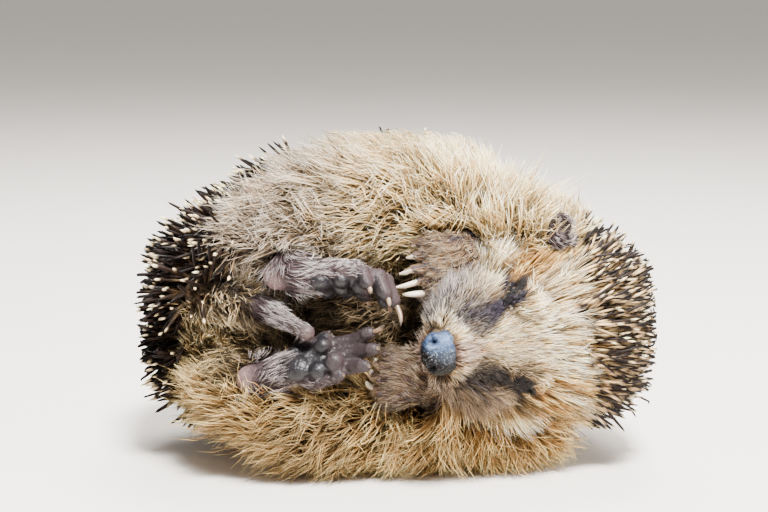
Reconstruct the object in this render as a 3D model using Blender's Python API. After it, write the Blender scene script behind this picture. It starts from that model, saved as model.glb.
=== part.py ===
"""A European hedgehog lying half rolled up on its left side, as one still life-size model.

The row frame is in metres with +Z up.  The animal's own middle plane lies level: its right flank is
on top, its back curves round the far side (+Y), its belly faces -Y, its rump is at -X and the crown
of its head at +X.  The outer shapes include the coat, out to the tips of the fur and the quills.
Points below are written in millimetres and scaled by MM.
"""

import math

import bmesh
import bpy
from mathutils import Matrix, Vector

MM = 0.001

# Driving dimensions, in millimetres.
BALL_HALF_LENGTH = 79.0  # rump quills to crown quills, halved
BALL_HALF_DEPTH = 60.0  # back to snout, halved
BALL_HEIGHT = 97.0  # flank to flank, lying on its side
BODY_PLANE = 48.0  # height of the body's middle plane
HEAD_PLANE = 42.6  # height of the head's middle plane
SEAM = 0.6  # swell of the tail, nose, ear and eye cutters, which leaves their gap
HEAD_GAP = 1.2  # the same for the head, whose facets are coarse
SOCKET_GAP = 1.2  # swell of the leg sockets, whose facets are coarse
SOCKET_FACES = 260
FOOT_LENGTH = 38.0  # hind foot, heel to toe tips, without claws
PAW_LENGTH = 20.0  # front paw, wrist to finger tips, without claws
FINGER_PITCH = 4.1  # from one finger to the next

# Facet budgets of the larger solids, in triangles.
TRUNK_FACES = 1100
HEAD_FACES = 900
HIND_LEG_FACES = 640
FRONT_LEG_FACES = 520
TAIL_FACES = 190
NOSE_FACES = 120
EAR_FACES = 120
EYE_FACES = 80

# The head's own axes: forward to the nose, up out of the crown, and across to its right side.
NOSE_TIP = Vector((8.0, -58.5, HEAD_PLANE))
HEAD_FORWARD = Vector((-0.68, -0.733, 0.0)).normalized()
HEAD_UP = Vector((0.733, -0.68, -0.08)).normalized()
HEAD_RIGHT = HEAD_FORWARD.cross(HEAD_UP).normalized()

SIDES = ((1, "right"), (-1, "left"))

# The neck is what lies past this corner of the plan, with its edges turned by an angle.
NECK_CORNER = (33.0, 22.0)
NECK_TURN = 16.0

SKIN_COLOURS = {
    "straw_fur": (0.52, 0.41, 0.27),
    "cream_fur": (0.66, 0.56, 0.42),
    "bare_skin": (0.22, 0.17, 0.17),
    "wet_nose": (0.03, 0.035, 0.05),
    "eye_black": (0.01, 0.01, 0.012),
}


def clear_scene():
    """Removes every object of the startup scene."""
    for thing in list(bpy.data.objects):
        bpy.data.objects.remove(thing)


def material(name, roughness):
    """A plain Principled material in one of the coat's colours."""
    found = bpy.data.materials.get(name)
    if found:
        return found
    made = bpy.data.materials.new(name)
    made.use_nodes = True
    shader = made.node_tree.nodes["Principled BSDF"]
    shader.inputs["Base Color"].default_value = (*SKIN_COLOURS[name], 1.0)
    shader.inputs["Roughness"].default_value = roughness
    shader.inputs["Metallic"].default_value = 0.0
    return made


def axes_matrix(origin, x_axis, y_axis, z_axis):
    """The matrix whose columns are three axes and an origin."""
    turn = Matrix((x_axis, y_axis, z_axis)).transposed().to_4x4()
    return Matrix.Translation(origin) @ turn


def turned_to(direction):
    """A rotation that carries +Z onto a direction."""
    return direction.to_track_quat("Z", "Y").to_matrix().to_4x4()


class Clay:
    """Round lumps, in millimetres, that are pressed together into one smooth body."""

    def __init__(self, swell=0.0):
        self.mesh = bmesh.new()
        self.swell = swell

    def ball(self, centre, radii, turn=None):
        """Adds an ellipsoid; radii is one number or three."""
        sizes = (radii,) * 3 if isinstance(radii, (int, float)) else radii
        grown = Matrix.Diagonal([size + self.swell for size in sizes]).to_4x4()
        place = Matrix.Translation(Vector(centre)) @ (turn or Matrix.Identity(4)) @ grown
        bmesh.ops.create_icosphere(self.mesh, subdivisions=4, radius=1.0, matrix=place)

    def bar(self, start, end, start_radius, end_radius):
        """Adds a tapered bar with round ends."""
        start, end = Vector(start), Vector(end)
        along = end - start
        place = Matrix.Translation((start + end) / 2) @ turned_to(along)
        bmesh.ops.create_cone(
            self.mesh, cap_ends=True, segments=24, radius1=start_radius + self.swell,
            radius2=end_radius + self.swell, depth=along.length, matrix=place,
        )
        self.ball(start, start_radius)
        self.ball(end, end_radius)

    def chain(self, points, radii):
        """Adds bars end to end through the points."""
        for i in range(len(points) - 1):
            self.bar(points[i], points[i + 1], radii[i], radii[i + 1])

    def rings(self, stations, segments=32):
        """Adds a closed tube of elliptical rings.

        A station is (centre, side axis, half width, up axis, half height).
        """
        loops = []
        for centre, side, width, up, height in stations:
            frame = axes_matrix(
                centre, side * (width + self.swell), up * (height + self.swell), side.cross(up)
            )
            made = bmesh.ops.create_circle(
                self.mesh, cap_ends=False, segments=segments, radius=1.0, matrix=frame
            )
            loops.append([edge for vert in made["verts"] for edge in vert.link_edges])
        for first, second in zip(loops, loops[1:]):
            bmesh.ops.bridge_loops(self.mesh, edges=list(set(first) | set(second)))
        for end in (loops[0], loops[-1]):
            bmesh.ops.contextual_create(self.mesh, geom=list(set(end)))

    def fuse(self, name, voxel, rounding, faces=0):
        """Makes the lumps one closed body and returns its object, in metres."""
        data = bpy.data.meshes.new(name)
        bmesh.ops.recalc_face_normals(self.mesh, faces=self.mesh.faces)
        bmesh.ops.scale(self.mesh, vec=(MM, MM, MM), verts=self.mesh.verts)
        self.mesh.to_mesh(data)
        self.mesh.free()
        body = bpy.data.objects.new(name, data)
        bpy.context.scene.collection.objects.link(body)
        remesh = body.modifiers.new("press", "REMESH")
        remesh.mode = "VOXEL"
        remesh.voxel_size = voxel * MM
        smooth = body.modifiers.new("round", "SMOOTH")
        smooth.factor = 0.5
        smooth.iterations = rounding
        if faces:
            apply_modifiers(body)
            body.data.calc_loop_triangles()
            thin = body.modifiers.new("facets", "DECIMATE")
            thin.ratio = min(1.0, faces / len(body.data.loop_triangles))
            thin.use_collapse_triangulate = True
        apply_modifiers(body)
        return body


def apply_modifiers(body):
    """Bakes an object's modifiers into its mesh."""
    bpy.context.view_layer.update()
    graph = bpy.context.evaluated_depsgraph_get()
    shaped = bpy.data.meshes.new_from_object(body.evaluated_get(graph))
    old = body.data
    body.modifiers.clear()
    body.data = shaped
    bpy.data.meshes.remove(old)
    shaped.name = body.name


def cut(body, cutter, operation="DIFFERENCE"):
    """Cuts a body with another, which stays in the scene as a wire guide."""
    cutter.hide_render = True
    cutter.display_type = "WIRE"
    joint = body.modifiers.new("cut_" + cutter.name, "BOOLEAN")
    joint.operation = operation
    joint.solver = "EXACT"
    joint.object = cutter


def join(body, others):
    """Unites other closed bodies with this one and removes them."""
    for other in others:
        joint = body.modifiers.new("join", "BOOLEAN")
        joint.operation = "UNION"
        joint.solver = "EXACT"
        joint.object = other
    apply_modifiers(body)
    for other in others:
        bpy.data.objects.remove(other)


def block(name, low, high):
    """A cutter box between two corners, in millimetres."""
    data = bpy.data.meshes.new(name)
    mesh = bmesh.new()
    low, high = Vector(low) * MM, Vector(high) * MM
    place = Matrix.Translation((low + high) / 2) @ Matrix.Diagonal(high - low).to_4x4()
    bmesh.ops.create_cube(mesh, size=1.0, matrix=place)
    mesh.to_mesh(data)
    mesh.free()
    box = bpy.data.objects.new(name, data)
    bpy.context.scene.collection.objects.link(box)
    box.hide_render = True
    box.display_type = "WIRE"
    return box


def claw(name, root, tip, radius, hook):
    """A curved tapering claw from root to tip, bent by hook towards its underside."""
    root, tip = Vector(root), Vector(tip)
    curve = bpy.data.curves.new(name, "CURVE")
    curve.dimensions = "3D"
    curve.bevel_depth = MM
    curve.bevel_resolution = 1
    curve.use_fill_caps = True
    spline = curve.splines.new("POLY")
    steps = 3
    spline.points.add(steps)
    for i in range(steps + 1):
        t = i / steps
        point = root.lerp(tip, t) + Vector(hook) * math.sin(math.pi * t)
        spline.points[i].co = (*(point * MM), 1.0)
        spline.points[i].radius = radius * (1.0 - 0.8 * t**1.5)
    guide = bpy.data.objects.new(name, curve)
    bpy.context.scene.collection.objects.link(guide)
    bpy.context.view_layer.update()
    graph = bpy.context.evaluated_depsgraph_get()
    data = bpy.data.meshes.new_from_object(guide.evaluated_get(graph))
    bpy.data.objects.remove(guide)
    mesh = bmesh.new()
    mesh.from_mesh(data)
    bmesh.ops.remove_doubles(mesh, verts=mesh.verts, dist=1e-6)
    bmesh.ops.recalc_face_normals(mesh, faces=mesh.faces)
    mesh.to_mesh(data)
    mesh.free()
    body = bpy.data.objects.new(name, data)
    bpy.context.scene.collection.objects.link(body)
    return body


# ---------------------------------------------------------------- trunk


def trunk_clay(swell=0.0):
    """The curled trunk: back, rump, shoulders, both thighs and both flank skirts."""
    clay = Clay(swell)
    clay.ball(
        (-4.0, BALL_HALF_DEPTH - 46.0, BODY_PLANE + 1.0),
        (BALL_HALF_LENGTH - 14.5, BALL_HALF_DEPTH - 13.0, BALL_HEIGHT / 2 + 1.2),
    )
    clay.ball((-43.0, 3.0, BODY_PLANE - 5.5), (BALL_HALF_LENGTH - 42.0, 41.0, 38.0))  # rump
    clay.ball((33.0, 15.0, BODY_PLANE - 4.0), (35.0, 39.0, 38.5))  # shoulders
    clay.ball((45.0, 6.0, BODY_PLANE - 6.0), (27.0, 27.0, 31.0))  # nape
    clay.ball((-6.0, 0.0, BODY_PLANE - 1.0), (46.0, 18.0, 34.0))  # belly
    upper_skirt = [(-42.0, -18.0, 66.0), (-24.0, -19.0, 76.0), (3.0, -16.0, 79.0), (30.0, -13.0, 71.0)]
    clay.chain(upper_skirt, (17.0, 18.5, 18.5, 17.0))
    lower_skirt = [(-45.0, -26.0, 28.0), (-28.0, -28.0, 18.0), (6.0, -24.0, 15.0), (36.0, -20.0, 17.0)]
    clay.chain(lower_skirt, (18.5, 18.5, 15.5, 17.5))
    return clay


# ---------------------------------------------------------------- head


def head_point(back, up=0.0, right=0.0):
    """A point in the head's own axes, measured back from the nose tip, in millimetres."""
    return NOSE_TIP - HEAD_FORWARD * back + HEAD_UP * up + HEAD_RIGHT * right


# Back from the nose tip, height above the head's axis, depth below it, and half width, with fur.
HEAD_STATIONS = (
    (3.0, 5.0, 4.8, 5.2),
    (8.0, 7.0, 6.0, 7.6),
    (15.0, 9.5, 8.5, 11.0),
    (23.0, 12.5, 12.0, 15.5),
    (31.0, 16.0, 15.5, 20.5),
    (39.0, 20.0, 18.5, 25.5),
    (48.0, 24.5, 22.0, 30.5),
    (57.0, 28.5, 25.0, 33.0),
    (66.0, 30.0, 26.0, 33.0),
    (74.0, 27.5, 23.0, 29.5),
    (81.0, 18.5, 14.0, 19.0),
)


def head_clay(swell=0.0):
    """The head with its fur and crown quills, from behind the nose pad to the nape."""
    clay = Clay(swell)
    stations = [
        (head_point(back, (above - below) / 2), HEAD_RIGHT, width, HEAD_UP, (above + below) / 2)
        for back, above, below, width in HEAD_STATIONS
    ]
    clay.rings(stations)
    return clay


def nose_clay(swell=0.0):
    """The bare nose pad at the tip of the snout."""
    clay = Clay(swell)
    turn = axes_matrix(Vector(), HEAD_RIGHT, HEAD_UP, -HEAD_FORWARD)
    clay.ball(head_point(4.2, 0.6), (5.6, 5.2, 4.6), turn)
    return clay


def ear_clay(side, swell=0.0):
    """One rounded ear, standing out of the head's side; side is 1 for right and -1 for left."""
    clay = Clay(swell)
    out = (HEAD_RIGHT * side + HEAD_UP * 0.35).normalized()
    thin = (HEAD_FORWARD * 0.8 + HEAD_UP * 0.5).normalized()
    wide = out.cross(thin).normalized()
    thin = wide.cross(out).normalized()
    turn = axes_matrix(Vector(), wide, thin, out)
    clay.ball(head_point(48.0, 6.0, 28.0 * side), (6.8, 1.5, 7.6), turn)
    return clay


def eye_clay(side, swell=0.0):
    """One closed eye with its lids, a low dome in the head's side."""
    clay = Clay(swell)
    out = (HEAD_RIGHT * side * 0.72 + HEAD_UP * 0.55 + HEAD_FORWARD * 0.42).normalized()
    along = (HEAD_FORWARD - out * HEAD_FORWARD.dot(out)).normalized()
    turn = axes_matrix(Vector(), along, out.cross(along), out)
    clay.ball(head_point(31.0, 7.0, 15.4 * side), (3.4, 2.9, 2.6), turn)
    return clay


# ---------------------------------------------------------------- legs

ANKLE = (6.0, 0.0, 2.0)  # forward, inwards and up from the heel
SHANK_RADII = (5.8, 8.5)
FOREARM_RADII = (6.4, 9.0)
CLAW_RADIUS = 1.25

# A foot's own axes are forward to the toes, inwards to the body's middle, and up out of its back.
# A digit is (start forward, start inwards, length, spread, radius).
HIND_DIGITS = (
    (0.56, 5.4, 7.0, 1.2, 2.0),
    (0.68, 4.0, 11.5, 0.7, 2.3),
    (0.71, 0.7, 13.0, 0.1, 2.5),
    (0.68, -2.8, 12.0, -0.6, 2.4),
    (0.60, -5.4, 9.0, -1.2, 2.1),
)
# A sole pad is (forward share, inwards, radius).
HIND_PADS = (
    (0.42, 2.2, 3.3),
    (0.47, -3.2, 3.1),
    (0.60, 3.8, 2.8),
    (0.64, 0.2, 2.9),
    (0.60, -3.8, 2.8),
)


def foot_axes(forward, sole):
    """Forward, and up out of the foot's back, made square to each other."""
    forward = Vector(forward).normalized()
    sole = Vector(sole)
    up = -(sole - forward * sole.dot(forward)).normalized()
    return forward, up


def hind_leg(name, heel, forward, sole, side, curl, shank_end, swell=0.0):
    """A hind foot with its shank; side is 1 for the right foot and -1 for the left."""
    forward, up = foot_axes(forward, sole)
    inward = up.cross(forward) * side
    heel = Vector(heel)

    def at(f, i=0.0, u=0.0):
        return heel + forward * f + inward * i + up * u

    clay = Clay(swell)
    clay.bar(at(1.5), at(14.0, 0.0, 0.8), 4.4, 5.2)
    clay.bar(at(14.0, 0.0, 0.8), at(24.0, 2.2, 1.4), 5.2, 4.5)
    clay.bar(at(14.0, 0.0, 0.8), at(24.0, -2.4, 1.2), 5.2, 4.5)
    clay.bar(at(*ANKLE), shank_end, *SHANK_RADII)
    for f, i, radius in HIND_PADS:
        clay.ball(at(f * FOOT_LENGTH, i, -2.6), radius)
    claws = []
    for n, (f, i, length, spread, radius) in enumerate(HIND_DIGITS):
        root = at(f * FOOT_LENGTH - 3.0, i, 0.6)
        bend = math.radians(curl)
        knuckle = root + forward * (length * 0.5 + 3.0) + inward * spread * 0.6
        tip = knuckle + (forward * math.cos(bend) - up * math.sin(bend)) * length * 0.55 + inward * spread
        clay.chain([root, knuckle, tip], (radius, radius * 0.95, radius * 0.8))
        beyond = (tip - knuckle).normalized()
        claws.append((f"{name}_claw_{n}", tip + beyond * radius * 0.2, tip + beyond * 5.6, up))
    return clay, claws


def front_leg(name, wrist, forward, palm, side, curl, elbow, swell=0.0):
    """A front paw with its forearm; side is 1 for the right paw and -1 for the left."""
    forward, up = foot_axes(forward, palm)
    inward = up.cross(forward) * side
    wrist = Vector(wrist)

    def at(f, i=0.0, u=0.0):
        return wrist + forward * f + inward * i + up * u

    clay = Clay(swell)
    clay.bar(at(0.0), elbow, *FOREARM_RADII)
    for n in (-1.5, -0.5, 0.5, 1.5):
        i = n * FINGER_PITCH
        clay.bar(at(0.0, i * 0.5), at(PAW_LENGTH * 0.5, i, 0.8), 5.0, 4.0)
    claws = []
    for n in range(5):
        i = (n - 2) * FINGER_PITCH
        middle = 1.0 - abs(n - 2) * 0.17
        root = at(PAW_LENGTH * 0.46, i, 0.8)
        bend = math.radians(curl)
        knuckle = root + forward * PAW_LENGTH * 0.22 * middle
        tip = knuckle + (forward * math.cos(bend) - up * math.sin(bend)) * PAW_LENGTH * 0.16 * middle
        clay.chain([root, knuckle, tip], (2.5, 2.3, 1.9))
        beyond = (tip - knuckle).normalized()
        claws.append((f"{name}_claw_{n}", tip + beyond * 0.4, tip + beyond * 7.2, up))
    return clay, claws


LEGS = {
    "hind_leg_right": {
        "build": hind_leg, "heel": (-36.5, -36.5, 61.5), "forward": (0.98, -0.17, -0.03),
        "sole": (0.0, -0.55, -0.83), "side": 1, "curl": 62.0, "shank_end": (-27.0, -20.0, 73.0),
    },
    "hind_leg_left": {
        "build": hind_leg, "heel": (-44.5, -39.5, 31.0), "forward": (0.93, -0.2, 0.31),
        "sole": (0.0, -0.75, 0.66), "side": -1, "curl": 30.0, "shank_end": (-31.0, -24.0, 21.0),
    },
    "front_leg_right": {
        "build": front_leg, "wrist": (19.0, -29.5, 65.2), "forward": (-0.93, -0.3, -0.14),
        "palm": (-0.3, 0.92, 0.0), "side": 1, "curl": 8.0, "elbow": (26.0, -8.0, 68.0),
    },
    "front_leg_left": {
        "build": front_leg, "wrist": (10.0, -40.5, 32.6), "forward": (-0.93, -0.25, 0.15),
        "palm": (-0.2, 0.96, 0.1), "side": -1, "curl": 14.0, "elbow": (18.0, -21.0, 19.0),
    },
}


def leg_body(name, settings, faces):
    """Builds one leg with its claws joined on."""
    settings = dict(settings)
    clay, claws = settings.pop("build")(name, **settings)
    leg = clay.fuse(name, 0.8, 2, faces)
    join(leg, [claw(claw_name, root, tip, CLAW_RADIUS, up * 0.5) for claw_name, root, tip, up in claws])
    return leg


def leg_socket(name, settings):
    """The cutter that leaves room in the trunk for a leg."""
    settings = dict(settings)
    clay, _ = settings.pop("build")(name, swell=SOCKET_GAP, **settings)
    return clay.fuse(name + "_socket", 1.0, 1, SOCKET_FACES)


def tail_clay(swell=0.0):
    """The short tail, laid forward over the belly between the hind feet."""
    clay = Clay(swell)
    clay.chain(
        [(-58.0, -19.0, 53.0), (-48.0, -30.0, 53.5), (-36.0, -38.5, 50.5), (-26.0, -45.0, 46.2)],
        (6.5, 4.6, 3.8, 3.1),
    )
    return clay


def dress(body, colour, roughness=0.85):
    """Gives a finished body its material and soft shading."""
    body.data.materials.clear()
    body.data.materials.append(material(colour, roughness))
    body.data.shade_smooth()


def corner_block(name, corner, turn_deg, size):
    """A cutter box whose lowest corner in its own turned axes stands at a point of the plan."""
    box = block(name, (0.0, -size, -size / 2), (size, 0.0, size))
    box.rotation_euler = (0.0, 0.0, math.radians(turn_deg))
    box.location = Vector((*corner, 0.0)) * MM
    return box


def build():
    """Makes every node of the hedgehog."""
    clear_scene()
    floor = block("floor_cut", (-120.0, -120.0, -60.0), (120.0, 120.0, 0.0))
    head = head_clay().fuse("head", 1.2, 4, HEAD_FACES)
    head_room = head_clay(HEAD_GAP).fuse("head_room", 1.2, 4, HEAD_FACES)
    tail = tail_clay().fuse("tail", 0.8, 3, TAIL_FACES)
    tail_room = tail_clay(SEAM).fuse("tail_room", 0.8, 3, TAIL_FACES)
    ear_rooms = []
    for side, word in SIDES:
        ear_rooms.append(ear_clay(side, SEAM).fuse("ear_room_" + word, 0.5, 1, EAR_FACES))
    legs = {}
    for name, settings in LEGS.items():
        faces = HIND_LEG_FACES if name.startswith("hind") else FRONT_LEG_FACES
        legs[name] = leg_body(name, settings, faces)
        dress(legs[name], "bare_skin")

    trunk = trunk_clay().fuse("trunk", 2.0, 6, TRUNK_FACES)
    for cutter in (floor, head_room, tail_room, *ear_rooms):
        cut(trunk, cutter)
    for name, settings in LEGS.items():
        cut(trunk, leg_socket(name, settings))
    apply_modifiers(trunk)
    neck = trunk.copy()
    neck.data = trunk.data.copy()
    neck.name = neck.data.name = "neck"
    bpy.context.scene.collection.objects.link(neck)
    cut(trunk, corner_block("neck_room", NECK_CORNER, NECK_TURN, 90.0))
    grown = [NECK_CORNER[0] + SEAM, NECK_CORNER[1] - SEAM]
    cut(neck, corner_block("neck_block", grown, NECK_TURN, 90.0), "INTERSECT")
    for part in (trunk, neck):
        dress(part, "straw_fur")

    for name in ("front_leg_left", "front_leg_right"):
        cut(legs[name], head_room)
    cut(legs["hind_leg_left"], tail_room)
    cut(head, floor)
    dress(head, "cream_fur")
    dress(tail, "bare_skin")
    nose = nose_clay().fuse("nose", 0.6, 2, NOSE_FACES)
    dress(nose, "wet_nose", 0.3)
    cut(head, nose_clay(SEAM).fuse("nose_room", 0.6, 2, NOSE_FACES))
    for (side, word), ear_room in zip(SIDES, ear_rooms):
        ear = ear_clay(side).fuse("ear_" + word, 0.5, 1, EAR_FACES)
        dress(ear, "bare_skin")
        cut(head, ear_room)
        eye = eye_clay(side).fuse("eye_" + word, 0.5, 1, EYE_FACES)
        dress(eye, "eye_black", 0.3)
        cut(head, eye_clay(side, SEAM).fuse("eye_room_" + word, 0.5, 1, EYE_FACES))


build()
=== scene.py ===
"""A European hedgehog asleep on its left side, half rolled up, dressed in skin, fur and quills.

The skin is pressed together from round lumps, as a sculptor would do with clay, and lies inside the
solids by the depth of the coat.  Hair and quills are tapered spikes that grow from points scattered
over that skin.  Sizes are in millimetres until a mesh is written.

Short names are used alike throughout: x, y, z for the world, with z out of the right flank, b, u, r
for back, up and right in the head's axes, s, d, h for along the lids, across them and out of the eye,
and f, i, u for forward, inwards and up in a foot's axes.
"""

import logging
import math
from collections.abc import Sequence
from dataclasses import dataclass, field, replace
from enum import Enum

import bmesh
import bpy
import numpy as np
from bpy.types import Material, Mesh, Object
from mathutils import Matrix, Vector
from mathutils.bvhtree import BVHTree
from mathutils.kdtree import KDTree

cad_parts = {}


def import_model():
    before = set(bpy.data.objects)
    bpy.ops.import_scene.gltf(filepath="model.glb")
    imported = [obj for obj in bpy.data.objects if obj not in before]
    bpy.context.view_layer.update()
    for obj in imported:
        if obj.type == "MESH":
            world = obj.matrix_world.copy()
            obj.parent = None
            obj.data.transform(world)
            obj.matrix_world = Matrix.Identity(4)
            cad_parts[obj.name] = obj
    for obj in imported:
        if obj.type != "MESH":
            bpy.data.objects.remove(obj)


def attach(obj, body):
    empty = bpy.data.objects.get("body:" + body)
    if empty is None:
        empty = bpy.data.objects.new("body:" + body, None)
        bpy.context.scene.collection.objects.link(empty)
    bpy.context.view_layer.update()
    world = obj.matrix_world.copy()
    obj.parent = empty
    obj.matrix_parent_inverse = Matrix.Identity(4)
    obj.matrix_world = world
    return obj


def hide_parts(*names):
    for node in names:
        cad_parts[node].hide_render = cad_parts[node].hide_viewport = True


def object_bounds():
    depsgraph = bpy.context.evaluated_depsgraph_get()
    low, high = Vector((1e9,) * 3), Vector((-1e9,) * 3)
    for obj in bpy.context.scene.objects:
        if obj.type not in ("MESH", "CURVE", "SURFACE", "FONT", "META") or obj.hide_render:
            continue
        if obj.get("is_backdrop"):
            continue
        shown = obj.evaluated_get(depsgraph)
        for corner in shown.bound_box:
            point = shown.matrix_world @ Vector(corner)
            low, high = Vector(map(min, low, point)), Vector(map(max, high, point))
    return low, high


Array = np.ndarray
Triple = tuple[float, float, float]

LOG = logging.getLogger("hedgehog")
MM = 0.001
SEED = 20
ROOT = "root"
UNWRAP = "OFBake"


class Part(Enum):
    """The regions of the skin, in the order of its material slots."""

    TRUNK = 0
    HEAD = 1
    HIND_RIGHT = 2
    HIND_LEFT = 3
    FRONT_RIGHT = 4
    FRONT_LEFT = 5
    TAIL = 6
    EAR_RIGHT = 7
    EAR_LEFT = 8


HIND_FEET = (Part.HIND_RIGHT, Part.HIND_LEFT)
FRONT_FEET = (Part.FRONT_RIGHT, Part.FRONT_LEFT)
FEET = HIND_FEET + FRONT_FEET
EARS = (Part.EAR_RIGHT, Part.EAR_LEFT)
SIDES = ((1, "right"), (-1, "left"))
MIDDLE = 47.0  # height of the plane between the right flank and the left


# ---------------- number helpers


def ramp(low: float, high: float, value: Array) -> Array:
    """Rises smoothly from 0 at low to 1 at high."""
    t = np.clip((value - low) / (high - low), 0.0, 1.0)
    return t * t * (3.0 - 2.0 * t)


def unit(vectors: Array) -> Array:
    """Scales each row to length 1."""
    return vectors / np.maximum(np.linalg.norm(vectors, axis=-1, keepdims=True), 1e-9)


def mix(first: Array, second: Array, share: Array) -> Array:
    """Blends rows of two arrays; share is one number a row."""
    share = np.asarray(share)[..., None]
    return np.asarray(first) * (1.0 - share) + np.asarray(second) * share


def drift(points: Array, size: float, seed: float) -> Array:
    """A slow wave noise in -1..1 over points; size is the length of its features in millimetres."""
    x, y, z = (points / size * 2.2).T
    a = np.sin(x * 1.1 + seed) + np.sin(y * 1.3 + seed * 2.3 + z * 0.7)
    b = np.sin(z * 1.7 - seed * 1.7 + x * 0.9) + np.sin(x * 2.3 + y * 2.1 + seed * 3.1)
    c = np.sin((x + y - z) * 3.1 + seed * 5.3) * 0.6
    return (a + b + c) / 4.6


# ---------------- clay modelling


def turned_to(direction: Vector) -> Matrix:
    """A rotation that carries +Z onto a direction."""
    return direction.to_track_quat("Z", "Y").to_matrix().to_4x4()


def axes_matrix(origin: Vector, x_axis: Vector, y_axis: Vector, z_axis: Vector) -> Matrix:
    """The matrix whose columns are three axes and an origin."""
    turn = Matrix((x_axis, y_axis, z_axis)).transposed().to_4x4()
    return Matrix.Translation(origin) @ turn


def apply_modifiers(body: Object) -> None:
    """Bakes an object's modifiers into its mesh."""
    bpy.context.view_layer.update()
    graph = bpy.context.evaluated_depsgraph_get()
    shaped = bpy.data.meshes.new_from_object(body.evaluated_get(graph))
    old = body.data
    body.modifiers.clear()
    body.data = shaped
    bpy.data.meshes.remove(old)
    shaped.name = body.name


def link(name: str, mesh: Mesh) -> Object:
    """Puts a mesh into the scene as an object of the same name."""
    body = bpy.data.objects.new(name, mesh)
    bpy.context.scene.collection.objects.link(body)
    return body


class Clay:
    """Round lumps, in millimetres, that are pressed together into one smooth body."""

    def __init__(self, swell: float = 0.0) -> None:
        """Starts with no lumps; every lump's radius grows by swell."""
        self.mesh = bmesh.new()
        self.swell = swell

    def ball(self, centre: Sequence[float], radii: float | Sequence[float],
             turn: Matrix | None = None) -> None:
        """Adds an ellipsoid.

        Args:
            centre: Its middle.
            radii: One radius, or one for each of its own axes.
            turn: The rotation of its own axes.
        """
        sizes = (radii,) * 3 if isinstance(radii, (int, float)) else radii
        grown = Matrix.Diagonal([max(size + self.swell, 0.3) for size in sizes]).to_4x4()
        place = Matrix.Translation(Vector(centre)) @ (turn or Matrix.Identity(4)) @ grown
        bmesh.ops.create_icosphere(self.mesh, subdivisions=4, radius=1.0, matrix=place)

    def bar(self, start: Sequence[float], end: Sequence[float], start_radius: float,
            end_radius: float) -> None:
        """Adds a tapered bar with round ends.

        Args:
            start: Its one end.
            end: Its other end.
            start_radius: Its radius at the start.
            end_radius: Its radius at the end.
        """
        start, end = Vector(start), Vector(end)
        along = end - start
        place = Matrix.Translation((start + end) / 2) @ turned_to(along)
        bmesh.ops.create_cone(
            self.mesh, cap_ends=True, segments=32, radius1=start_radius + self.swell,
            radius2=end_radius + self.swell, depth=along.length, matrix=place,
        )
        self.ball(start, start_radius)
        self.ball(end, end_radius)

    def chain(self, points: Sequence[Sequence[float]], radii: Sequence[float]) -> None:
        """Adds bars end to end through the points."""
        for i in range(len(points) - 1):
            self.bar(points[i], points[i + 1], radii[i], radii[i + 1])

    def rings(self, stations: Sequence[tuple], segments: int = 48) -> None:
        """Adds a closed tube of elliptical rings.

        Args:
            stations: (centre, side axis, half width, up axis, half height) of each ring.
            segments: Edges in a ring.
        """
        loops = []
        for centre, side, width, up, height in stations:
            frame = axes_matrix(centre, side * width, up * height, side.cross(up))
            made = bmesh.ops.create_circle(
                self.mesh, cap_ends=False, segments=segments, radius=1.0, matrix=frame,
            )
            loops.append([edge for vert in made["verts"] for edge in vert.link_edges])
        for first, second in zip(loops, loops[1:]):
            bmesh.ops.bridge_loops(self.mesh, edges=list(set(first) | set(second)))
        for end in (loops[0], loops[-1]):
            bmesh.ops.contextual_create(self.mesh, geom=list(set(end)))

    def write(self, name: str) -> Object:
        """Makes the lumps an object as they are, in metres.

        Args:
            name: The object's name.

        Returns:
            The object.
        """
        data = bpy.data.meshes.new(name)
        bmesh.ops.recalc_face_normals(self.mesh, faces=self.mesh.faces)
        bmesh.ops.scale(self.mesh, vec=(MM, MM, MM), verts=self.mesh.verts)
        self.mesh.to_mesh(data)
        self.mesh.free()
        return link(name, data)

    def fuse(self, name: str, voxel: float, rounding: int) -> Object:
        """Makes the lumps one closed body.

        Args:
            name: The object's name.
            voxel: Size of its finest feature.
            rounding: Rounds of smoothing.

        Returns:
            The object, in metres.
        """
        body = self.write(name)
        remesh = body.modifiers.new("press", "REMESH")
        remesh.mode = "VOXEL"
        remesh.voxel_size = voxel * MM
        smooth = body.modifiers.new("round", "SMOOTH")
        smooth.factor = 0.5
        smooth.iterations = rounding
        apply_modifiers(body)
        return body

    def cast(self, name: str, levels: int) -> Object:
        """Makes the lumps an object that is smoothed by subdivision.

        Args:
            name: The object's name.
            levels: How often its faces are divided.

        Returns:
            The object, in metres.
        """
        body = self.write(name)
        body.data.shade_smooth()
        smooth = body.modifiers.new("smooth", "SUBSURF")
        smooth.levels = smooth.render_levels = levels
        return body


def read(source: bpy.types.bpy_prop_collection, name: str, count: int, kind: type) -> Array:
    """Reads one property of a collection into a flat array.

    Args:
        source: The collection.
        name: The property's name.
        count: How many values it has in all.
        kind: Their type.

    Returns:
        The values.
    """
    flat = np.empty(count, kind)
    source.foreach_get(name, flat)
    return flat


def positions(mesh: Mesh) -> Array:
    """A mesh's points, in millimetres."""
    flat = read(mesh.vertices, "co", len(mesh.vertices) * 3, np.float32)
    return flat.reshape(-1, 3).astype(np.float64) / MM


def point_normals(mesh: Mesh) -> Array:
    """The outward normal at each of a mesh's points."""
    flat = read(mesh.vertex_normals, "vector", len(mesh.vertices) * 3, np.float32)
    return flat.reshape(-1, 3).astype(np.float64)


def move_points(mesh: Mesh, points: Array) -> None:
    """Writes a mesh's points, given in millimetres."""
    mesh.vertices.foreach_set("co", (points * MM).astype(np.float32).ravel())
    mesh.update()


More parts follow.
